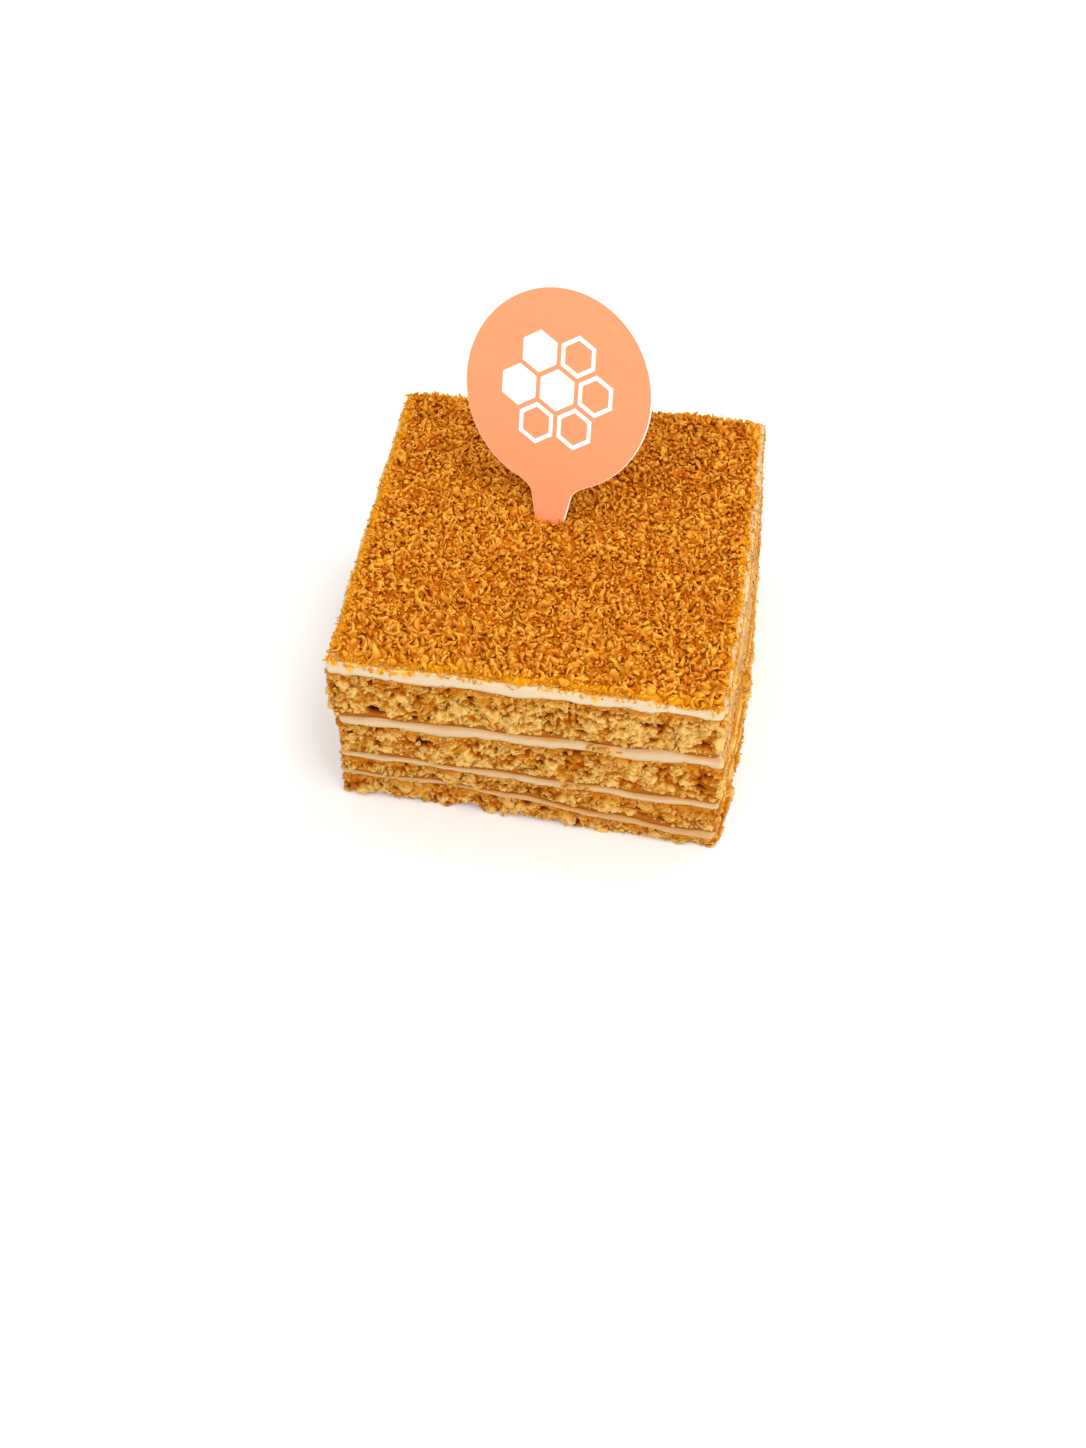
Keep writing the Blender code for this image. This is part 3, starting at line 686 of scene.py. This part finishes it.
def strew(name, model, centres, facing, radii, shape, tilt, curl, material, seed, darkest=0.0):
    """One joined mesh of copies of the model, each turned, dented and bent in its own way.

    Its tone runs from the darkest, the last number, up to 1. Besides a random part it carries painted
    highlights: it is highest at the outward tips and along the rims.
    """
    draw = np.random.default_rng(seed)
    corners, faces = model
    count = len(centres)
    dent = draw.uniform(0.8, 1.15, (count, len(corners), 1))
    lump = corners[None] * dent * shape * draw.uniform(0.75, 1.25, (count, 1, 3))
    lump[..., 2] += curl * draw.uniform(0.2, 1, (count, 1)) * (lump[..., 0] ** 2 - 0.4)
    w = facing + tilt * draw.normal(size=(count, 3))
    w /= np.linalg.norm(w, axis=1)[:, None]
    u = np.cross(draw.normal(size=(count, 3)), w)
    u /= np.linalg.norm(u, axis=1)[:, None]
    v = np.cross(w, u)
    turned = lump @ np.stack([u, v, w], axis=1)
    points = centres[:, None] + turned * np.asarray(radii)[:, None, None]
    points[..., 2] = np.maximum(points[..., 2], BIT_CLEARANCE)
    copies = (faces[None] + len(corners) * np.arange(count)[:, None, None]).reshape(-1, faces.shape[1])
    piece = new_piece(name, points.reshape(-1, 3), copies.tolist(), material)
    tips = np.einsum("ijk,ik->ij", turned, facing)
    edge = np.linalg.norm(corners, axis=1)
    # Painted highlight: the outward tips and the rims of each copy are lighter; the rest of the tone is
    # random.
    tone = 0.5 * draw.uniform(0, 1, (count, 1)) + 0.3 * (0.5 + tips) + 0.3 * (edge - 0.3)
    note(piece, "tone", darkest + (1 - darkest) * np.clip(tone, 0, 1).ravel())
    return piece


def cling(x, y, bottom, top, share, outward, damp):
    """Adds bits to the three lists, each at its share of the way from the bottom to the top."""
    centres.append(np.column_stack([x, y, bottom + share * (top - bottom)]))
    facings.append(np.column_stack([outward, np.zeros(len(outward))]))
    damps.append(damp)


draw = np.random.default_rng(21)
centres, facings, damps = [], [], []
for sheet in range(SHEETS):
    lower, upper = 2 * sheet, 2 * sheet + 1
    low, high = level_height(lower), level_height(upper)
    rim, outward = cut_rim((low + high) / 2, SPONGE_SLIP[sheet], SPONGE_GRID)
    count = round(BITS * (high - low) / sum(SPONGE_THICKNESS))
    column = draw.integers(0, len(rim), count)
    share = draw.uniform(0.02 if sheet == 0 else 0.6 * SKIN_HEIGHT / (high - low), 0.96, count)
    right_side = np.flatnonzero(outward[:, 0] > 0.9)
    for y, z, half_width, half_height, _ in KNOBS:
        if low < z < high:
            count = round(KNOB_BITS * half_width * half_height)
            y, z = draw.normal(y, 0.4 * half_width, count), draw.normal(z, 0.4 * half_height, count)
            column = np.append(column, right_side[np.searchsorted(rim[right_side, 1], y)])
            share = np.append(share, np.clip((z - low) / (high - low), 0.05, 0.95))
    seat = np.column_stack([rim[column], low + share * (high - low)])
    relief, depth, _, _, soaked = torn_crumb(seat, share, sheet)
    proud = depth < 0.25
    column, share, relief = column[proud], share[proud], relief[proud]
    x, y = (rim[column] + outward[column] * (relief - 0.1)[:, None]).T
    cling(x, y, underside(sheet, x, y), surface(upper, x, y), share, outward[column], soaked[proud])
    rim, outward = cut_rim((high + level_height(upper + 1)) / 2, CREAM_SLIP[sheet], SPONGE_GRID)
    right_side = np.flatnonzero(outward[:, 0] > 0.8)
    for among, count, reach, damp in (
        (right_side, DRAG_BITS, (0.0, 1.0), (0.3, 0.3)),
        (np.arange(len(rim)), FOOT_BITS, FOOT_BITS_REACH, (0.2, 0.9)),
    ):
        column = draw.choice(among, round(count / SHEETS))
        share = draw.uniform(*reach, len(column))
        place = cream_face(rim[column], outward[column], np.clip(share, 0.05, 1), sheet)
        x, y = (place + outward[column] * draw.uniform(-0.1, 0.2, (len(column), 1))).T
        bottom, top = surface(upper, x, y), surface(upper + 1, x, y)
        cling(x, y, bottom, top, share, outward[column], draw.uniform(*damp, len(column)))
for sheet, x, spread, share, share_spread, count in SMEARS:
    lower, upper = 2 * sheet + 1, 2 * sheet + 2
    rim, outward = cut_rim(level_height(lower), CREAM_SLIP[sheet], SPONGE_GRID)
    front = outward[:, 1] < -0.9
    x = draw.normal(x, 0.6 * spread, count)
    y = np.interp(x, rim[front, 0], rim[front, 1]) - draw.uniform(0.2, 0.5, count)
    share = draw.normal(share, 0.6 * share_spread, count)
    bottom, top = surface(lower, x, y), surface(upper, x, y)
    cling(x, y, bottom, top, share, np.tile((0.0, -1.0), (count, 1)), np.full(count, 0.4))
centres, facings, damps = (np.concatenate(part) for part in (centres, facings, damps))
leafy = draw.uniform(0, 1, len(centres)) < LEAF_SHARE
for name, model, chosen, radius, shape, tilt, curl, seed in (
    ("torn_sponge_bits", ball(), ~leafy, BIT_RADIUS, BIT_SHAPE, 0.6, 0.2, 22),
    ("torn_sponge_leaves", flake(3, 0.5), leafy, LEAF_RADIUS, LEAF_SHAPE, 0.5, 0.9, 23),
):
    radii = draw.uniform(0, 1, chosen.sum()) ** 2 * (radius[1] - radius[0]) + radius[0]
    radii *= 1 - 0.35 * np.clip(facings[chosen, 0], 0, 1)
    seats = centres[chosen]
    seats[:, 2] = np.maximum(seats[:, 2], radii * 0.8)
    facing = facings[chosen]
    bits = strew(name, model, seats, facing, radii, shape, tilt, curl, baked_sponge, seed, 0.35)
    note(bits, "soaked", np.repeat(0.85 * damps[chosen], len(model[0])))
    note(bits, "depth", np.full(len(seats) * len(model[0]), -0.3))
    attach(bits, "root")

# The top is strewn with crumbs: the trimmings of the sheets, dried, rubbed to flakes and pressed into the
# cream. They lie two or three deep on a bed that the cream has bound, damp and golden along the rim.

BED_GRID = 0.45
BED_HEIGHT = 1.1
BED_LEAST = 0.2
BED_LUMP_SIZE, BED_LUMP = 1.5, 0.6
BED_GRAIN_SIZE, BED_GRAIN = 0.8, 0.2
BED_TEAR_SIZE, BED_TEAR = 1.4, 0.5
BED_TUCK = 0.3  # how far its foot reaches down into the cream
CRUMB_HEIGHT = 1.6
FRONT_INSET, RIGHT_INSET, OTHER_INSET = 1.1, 1.2, -0.1
RIM_WANDER, RIM_WANDER_SIZE = 0.5, 6.0
RIM_RAG, RIM_RAG_SIZE = 0.5, 1.5
CORNER_ARC = 3.0
FLAKE_SPACING = 1.12
FLAKE_RADIUS = (0.6, 1.1)
FLAKE_SHAPE = np.array((1.0, 0.65, 1.0))
FRONT_GROWTH, FRONT_BAND = 0.4, 9.0  # flakes are larger along the front edge
CRUMB_SPACING = 1.15
CRUMB_RADIUS = (0.32, 0.7)
CRUMB_SHAPE = np.array((1.0, 0.8, 0.6))
DUST_COUNT = 3000
DUST_RADIUS = (0.12, 0.26)
SPILLED_COUNT = 1200  # damp crumbs on the rim and just over it
SPILLED_RADIUS = (0.25, 0.6)
DAMP_BAND = 2.6
PICK_ENTRY = (-2.2, 4.0)
PICK_TURN = -19.7
# Where the stem presses the crumbs down or heaps them up: the place along the card, spread and rise.
STEM_PRESS = ((-1.6, 2.4, -1.6), (3.4, 1.2, 0.5))
STEM_PRESS_REACH = 1.8  # to either side of the card
# The dark end of the crumb colours is where the painted shade between lumps and flakes falls.
CRUMB_DARK = "#923000"
CRUMB_MIDDLE = "#BD6200"
CRUMB_LIGHT = "#E8A638"
CRUMB_DAMP = "#F2A818"


def top_edge_inset(x, y):
    """How far in from the top coat's rim the crumbs stop."""
    points = np.stack([x, y, np.zeros_like(x)], axis=1)
    inset = np.where(x > HALF_WIDTH * 0.9, RIGHT_INSET, OTHER_INSET)
    inset = np.where(y < HALF_WIDTH * -0.9, FRONT_INSET, inset)
    inset += RIM_WANDER * soft_noise(points, RIM_WANDER_SIZE, 71)
    return inset + RIM_RAG * soft_noise(points, RIM_RAG_SIZE, 73)


def place_on_top(u, v):
    """From shares across and along the top to its place there."""
    front = TOP_CORNERS[0] + np.multiply.outer(u, TOP_CORNERS[1] - TOP_CORNERS[0])
    rear = TOP_CORNERS[3] + np.multiply.outer(u, TOP_CORNERS[2] - TOP_CORNERS[3])
    place = front + (rear - front) * v[..., None]
    place[..., 0] += u * bow(CAKE_HEIGHT, v)
    return place


def inset_on_top(u, v):
    """Distance in from the nearest side, or from the arc that rounds the nearest corner."""
    across = 2 * HALF_WIDTH * np.minimum(u, 1 - u)
    along = 2 * HALF_WIDTH * np.minimum(v, 1 - v)
    arc = CORNER_ARC - np.hypot(np.maximum(CORNER_ARC - across, 0), np.maximum(CORNER_ARC - along, 0))
    return np.where(np.maximum(across, along) < CORNER_ARC, arc, np.minimum(across, along))


def stem_press(x, y):
    """How far the crumbs there lie above their usual height, for the stem."""
    turn = math.radians(PICK_TURN)
    x, y = x - PICK_ENTRY[0], y - PICK_ENTRY[1]
    along = x * math.cos(turn) + y * math.sin(turn)
    off = y * math.cos(turn) - x * math.sin(turn)
    rise = sum(rise * np.exp(-(((along - place) / spread) ** 2)) for place, spread, rise in STEM_PRESS)
    return rise * np.exp(-((off / STEM_PRESS_REACH) ** 2))


# Rubbed cake crumbs: dry and matt with a little gleam of honey. Their tone carries painted shade, darker
# between the lumps of the bed, and painted highlights at the tips and rims of the flakes.
rubbed_crumb = new_material("rubbed_cake_crumbs")
crumb_tone_and_light, crumb_damp = (
    (add(rubbed_crumb, "Attribute", {"attribute_name": name}), "Fac")
    for name in ("tone", "damp")
)
dry_colour = add(
    rubbed_crumb,
    "ValToRGB",
    {"stops": ((0.0, CRUMB_DARK), (0.5, CRUMB_MIDDLE), (1.0, CRUMB_LIGHT))},
    {"Fac": crumb_tone_and_light},
)
damp_colour = add(
    rubbed_crumb, "MixRGB", {"Color2": linear(CRUMB_DAMP)}, {"Fac": crumb_damp, "Color1": dry_colour}
)
crumb_place = (add(rubbed_crumb, "TexCoord"), "Object")
crumb_grain = add(
    rubbed_crumb, "TexNoise", {"Scale": 1 / (0.35 * MM), "Detail": 2.0}, {"Vector": crumb_place}
)
crumb_bump = add(rubbed_crumb, "Bump", {"Strength": 0.4, "Distance": 0.0001}, {"Height": crumb_grain})
add(
    rubbed_crumb,
    "Principled BSDF",
    {"Roughness": 0.4, "IOR": 1.45, "Specular IOR Level": 0.05},
    {"Base Color": damp_colour, "Normal": crumb_bump},
)

top_level = 2 * SHEETS
cells = round(2 * HALF_WIDTH / BED_GRID)
shares = np.linspace(0, 1, cells + 1)
u, v = (grid.ravel() for grid in np.meshgrid(shares, shares))
x, y = place_on_top(u, v).T
inset = inset_on_top(u, v)
toward_middle = np.maximum(0, top_edge_inset(x, y)) * np.exp(-inset / 2.0)
reach = np.maximum(np.maximum(abs(x), abs(y)), 0.1)
inward = 1 - toward_middle / reach
x, y = x * inward, y * inward
flat = np.stack([x, y, np.zeros_like(x)], axis=1)
pull = np.stack([soft_noise(flat, BED_TEAR_SIZE, 75 + k) for k in range(3)], axis=1)
near, _, size = clumps(flat + BED_TEAR * pull, BED_LUMP_SIZE, 72)
bumps = BED_LUMP * (dome(near) * (0.3 + 0.7 * size) - 0.5)
bumps += BED_GRAIN * soft_noise(flat, BED_GRAIN_SIZE, 74)
rise = BED_HEIGHT * smooth_step(inset / 1.2 + 0.05) + bumps * smooth_step(inset / 0.8)
rise = np.maximum(rise + stem_press(x, y), np.minimum(rise, BED_LEAST))
top_points = np.column_stack([x, y, surface(top_level, x, y) + rise])
grid = np.arange(len(top_points)).reshape(len(shares), len(shares))
border = np.concatenate([grid[0, :-1], grid[:-1, -1], grid[-1, :0:-1], grid[:0:-1, 0]])
foot_points = top_points[border]
foot_points[:, 2] = surface(top_level, x[border], y[border]) - BED_TUCK
foot = len(top_points) + np.arange(len(border))
quads = np.stack([grid[:-1, :-1], grid[:-1, 1:], grid[1:, 1:], grid[1:, :-1]], axis=2).reshape(-1, 4)
side_quads = np.stack([foot, np.roll(foot, -1), np.roll(border, -1), border], axis=1)
bed_faces = [*quads.tolist(), *side_quads.tolist(), foot[::-1].tolist()]
bed = new_piece("crumb_bed", np.concatenate([top_points, foot_points]), bed_faces, rubbed_crumb)
damp = smooth_step(1 - inset / DAMP_BAND)
note(bed, "damp", np.concatenate([damp, np.ones(len(border))]))
# Painted shade: the bed is darker in the hollows between its lumps and lighter on their tops.
note(bed, "tone", np.concatenate([np.clip(0.3 + 0.9 * bumps, 0, 0.8), np.zeros(len(border))]))
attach(bed, "root")
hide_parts("crumb_topping")


def strew_on_top(name, model, u, v, height, radii, shape, tilt, curl, seed):
    """Crumbs on the bed at those shares of the top, at that share of the crumb layer's height."""
    x, y = place_on_top(u, v).T
    inset = inset_on_top(u, v)
    radii = radii * (0.65 + 0.35 * smooth_step(inset / 3))
    kept = inset > top_edge_inset(x, y) - 0.1 * radii
    x, y, inset, height, radii = (part[kept] for part in (x, y, inset, height, radii))
    rise = BED_HEIGHT * smooth_step(inset / 1.2) + (CRUMB_HEIGHT - BED_HEIGHT) * height
    rise = np.maximum(rise + stem_press(x, y), np.minimum(rise, 2 * BED_LEAST))
    centres = np.column_stack([x, y, surface(top_level, x, y) + rise])
    facing = np.tile((0.0, 0.0, 1.0), (len(centres), 1))
    piece = strew(name, model, centres, facing, radii, shape, tilt, curl, rubbed_crumb, seed)
    note(piece, "damp", np.repeat(0.7 * smooth_step(1 - inset / DAMP_BAND), len(model[0])))
    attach(piece, "root")
    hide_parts("crumb_topping")


def jittered(spacing, seed):
    """Shares across and along the top, one for each square of that spacing."""
    draw = np.random.default_rng(seed)
    count = round(2 * HALF_WIDTH / spacing)
    i, j = (grid.ravel() for grid in np.meshgrid(np.arange(count), np.arange(count)))
    return (i + draw.uniform(0, 1, i.size)) / count, (j + draw.uniform(0, 1, j.size)) / count


draw = np.random.default_rng(31)
u, v = jittered(FLAKE_SPACING, 32)
radii = draw.uniform(*FLAKE_RADIUS, u.size)
radii *= 1 + FRONT_GROWTH * np.exp(-v * 2 * HALF_WIDTH / FRONT_BAND)
heights = draw.uniform(0.15, 0.85, u.size)
strew_on_top("rubbed_flakes", flake(4, 0.8), u, v, heights, radii, FLAKE_SHAPE, 1.3, 1.3, 33)
u, v = jittered(CRUMB_SPACING, 34)
radii = draw.uniform(*CRUMB_RADIUS, u.size)
heights = draw.uniform(0.0, 1.0, u.size)
strew_on_top("rubbed_crumbs", ball(), u, v, heights, radii, CRUMB_SHAPE, 0.8, 0.2, 35)
u, v = draw.uniform(0, 1, (2, DUST_COUNT))
radii = draw.uniform(*DUST_RADIUS, u.size)
heights = draw.uniform(0.3, 1.1, u.size)
strew_on_top("crumb_dust", ball(), u, v, heights, radii, CRUMB_SHAPE, 1.0, 0.0, 36)

rim, outward = cut_rim(CAKE_HEIGHT, CREAM_SLIP[-1], CREAM_GRID)
column = draw.integers(0, len(rim), SPILLED_COUNT)
fall = abs(draw.normal(0, 0.3, SPILLED_COUNT))
x, y = (rim[column] + outward[column] * (1.1 * smooth_step(fall / 0.6) - 1.0)[:, None]).T
centres = np.column_stack([x, y, surface(top_level, x, y) + 0.4 - 1.1 * fall])
facing = np.column_stack([outward[column], np.full(SPILLED_COUNT, 0.6)])
radii = draw.uniform(*SPILLED_RADIUS, SPILLED_COUNT)
model = flake(3, 0.6)
spilled = strew(
    "spilled_crumbs", model, centres, facing, radii, FLAKE_SHAPE, 0.8, 1.0, rubbed_crumb, 37
)
note(spilled, "damp", np.repeat(draw.uniform(0.2, 0.9, SPILLED_COUNT), len(model[0])))
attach(spilled, "root")
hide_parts("crumb_topping")

# The pick is die-cut from white board, printed orange on both faces and pushed into the cake by its stem.
# Its cut edge stays white, and both faces carry a white printed honeycomb.

DISC_RADIUS = 19.4
DISC_RISE = 25.9
STEM = ((1.3, -14.0), (3.0, 0.0), (4.2, 5.4))  # half width and height of the tip, entry and neck
NECK_CORNER = (4.8, 7.1)
NECK_LANDING = -64.0  # where the neck's curve meets the disc, in degrees round it
CARD_THICKNESS = 0.6
PICK_SINK = 0.6
PICK_LEAN, PICK_ROLL = 29.0, -11.4
EDGE_ROUNDING = 0.06
PRINT_BORDER = 0.09  # unprinted rim that the die leaves
CELL_RADIUS = 4.1
CELL_GAP = 0.9
CELL_LINE = 0.95
FILLED_CELLS = (0, 3, 4)  # the middle one is 0, and the others count round it
INK_HEIGHT, INK_OVERLAP = 0.025, 0.01
NECK_STEPS, DISC_STEPS = 8, 60
ORANGE_INK, ORANGE_INK_THIN = "#F89B6A", "#F69766"
WHITE_INK, WHITE_INK_THIN = "#FFFDF9", "#F8F3EC"
BOARD_EDGE, BOARD_EDGE_DIM = "#FBF6EC", "#F1E9DB"

turn = Matrix.Rotation(math.radians(PICK_TURN), 4, "Z")
stand = Matrix.Rotation(math.radians(90.0 - PICK_LEAN), 4, "X")
twist = Matrix.Rotation(math.radians(-PICK_ROLL), 4, "Z")
entry_height = level_height(top_level) + CREAM_TILT[-1] * PICK_ENTRY[0] / (2 * HALF_WIDTH)
entry = Vector((*PICK_ENTRY, entry_height + CRUMB_HEIGHT - PICK_SINK))
card_frame = np.array(Matrix.Translation(entry) @ turn @ stand @ twist)


def on_card(points):
    """From the card's own axes (across, up and out of its face) to the cake's frame."""
    return np.asarray(points) @ card_frame[:3, :3].T + card_frame[:3, 3]


def card_outline(inset):
    """The right half from the tip to the top of the disc, then mirrored, all drawn in by the inset."""
    radius = DISC_RADIUS - inset
    half = [(half_width - inset, height) for half_width, height in STEM]
    landing = math.radians(NECK_LANDING)
    start = np.array(half[-1])
    corner = np.array(NECK_CORNER) - (inset, -inset)
    end = np.array((radius * math.cos(landing), DISC_RISE + radius * math.sin(landing)))
    for t in np.linspace(0, 1, NECK_STEPS + 1)[1:-1]:
        half.append(tuple(start * (1 - t) ** 2 + corner * 2 * t * (1 - t) + end * t**2))
    for angle in np.linspace(landing, math.pi / 2, DISC_STEPS + 1)[:-1]:
        half.append((radius * math.cos(angle), DISC_RISE + radius * math.sin(angle)))
    return half + [(0.0, DISC_RISE + radius)] + [(-x, y) for x, y in reversed(half)]


# Clay-coated board: smooth and faintly glossy where it is printed, fuzzy and white where it is cut.
orange_ink = new_material("orange_offset_ink")
print_place = (add(orange_ink, "TexCoord"), "Object")
board_tooth = add(
    orange_ink, "TexNoise", {"Scale": 1 / (0.7 * MM), "Detail": 2.0}, {"Vector": print_place}
)
ink_colour = add(
    orange_ink, "ValToRGB", {"stops": ((0.3, ORANGE_INK_THIN), (0.7, ORANGE_INK))}, {"Fac": board_tooth}
)
print_bump = add(orange_ink, "Bump", {"Strength": 0.06, "Distance": 0.0001}, {"Height": board_tooth})
add(
    orange_ink,
    "Principled BSDF",
    {"Roughness": 0.42, "IOR": 1.5},
    {"Base Color": ink_colour, "Normal": print_bump},
)

cut_board = new_material("cut_white_board")
board_place = (add(cut_board, "TexCoord"), "Object")
cut_fibre = add(
    cut_board, "TexNoise", {"Scale": 1 / (0.3 * MM), "Detail": 3.0}, {"Vector": board_place}
)
board_colour = add(
    cut_board, "ValToRGB", {"stops": ((0.3, BOARD_EDGE_DIM), (0.7, BOARD_EDGE))}, {"Fac": cut_fibre}
)
board_bump = add(cut_board, "Bump", {"Strength": 0.3, "Distance": 0.00005}, {"Height": cut_fibre})
add(
    cut_board, "Principled BSDF", {"Roughness": 0.8}, {"Base Color": board_colour, "Normal": board_bump}
)

half_thick = CARD_THICKNESS / 2
edge = [(PRINT_BORDER, half_thick), (EDGE_ROUNDING, half_thick), (0.0, half_thick - EDGE_ROUNDING)]
rings = []
for inset, height in [(inset, -height) for inset, height in edge] + edge[::-1]:
    flat = np.array(card_outline(inset))
    rings.append(np.column_stack([flat, np.full(len(flat), height)]))
card_points = on_card(np.concatenate(rings))
card_faces = ring_faces(len(card_points), len(rings[0]))
card = new_piece("card_pick", card_points, card_faces, cut_board, smooth=False)
card.data.materials.append(orange_ink)
card.data.polygons[-1].material_index = card.data.polygons[-2].material_index = 1
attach(card, "root")
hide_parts("pick")

# White offset ink over the orange: opaque, even and a little duller than bare board.
white_ink = new_material("white_offset_ink")
ink_place = (add(white_ink, "TexCoord"), "Object")
ink_tooth = add(white_ink, "TexNoise", {"Scale": 1 / (0.7 * MM), "Detail": 2.0}, {"Vector": ink_place})
white_colour = add(
    white_ink, "ValToRGB", {"stops": ((0.3, WHITE_INK_THIN), (0.7, WHITE_INK))}, {"Fac": ink_tooth}
)
add(white_ink, "Principled BSDF", {"Roughness": 0.45, "IOR": 1.5}, {"Base Color": white_colour})


def hexagon(centre, radius):
    """Corners of a cell that stands on a corner."""
    angles = np.radians(np.arange(6) * 60 + 30)
    return np.column_stack([centre[0] + radius * np.cos(angles), centre[1] + radius * np.sin(angles)])


def slab(outer, inner, face):
    """Points and faces of a thin inked shape on one face of the card, with a hole if inner is given."""
    start, end = half_thick - INK_OVERLAP, half_thick + INK_HEIGHT
    loops = [outer] if inner is None else [outer, inner]
    points = [np.column_stack([loop, np.full(6, height)]) for loop in loops for height in (start, end)]
    points = np.concatenate(points) * (face, 1, face)
    i = np.arange(6)
    j = (i + 1) % 6
    if inner is None:
        sides = np.stack([i, j, j + 6, i + 6], axis=1).tolist()
        return points, [*sides, i[::-1].tolist(), (i + 6).tolist()]
    walls = [(i, j, j + 6, i + 6), (j + 12, i + 12, i + 18, j + 18)]
    walls += [(i + 6, j + 6, j + 18, i + 18), (j, i, i + 12, j + 12)]
    return points, np.concatenate([np.stack(wall, axis=1) for wall in walls]).tolist()


pitch = CELL_RADIUS * math.sqrt(3) + CELL_GAP
turns = [math.radians(angle) for angle in range(0, 360, 60)]
cells = [(pitch * math.cos(angle), DISC_RISE + pitch * math.sin(angle)) for angle in turns]
points, faces, total = [], [], 0
for face in (1, -1):
    for index, centre in enumerate([(0.0, DISC_RISE), *cells]):
        outer = hexagon(centre, CELL_RADIUS)
        inner = None if index in FILLED_CELLS else hexagon(centre, CELL_RADIUS - CELL_LINE)
        new_points, new_faces = slab(outer, inner, face)
        points.append(new_points)
        faces += [[k + total for k in f] for f in new_faces]
        total += len(new_points)
points = on_card(np.concatenate(points))
honeycomb = new_piece("printed_honeycomb", points, faces, white_ink, smooth=False)
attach(honeycomb, "root")
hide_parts("pick")

low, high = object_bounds()
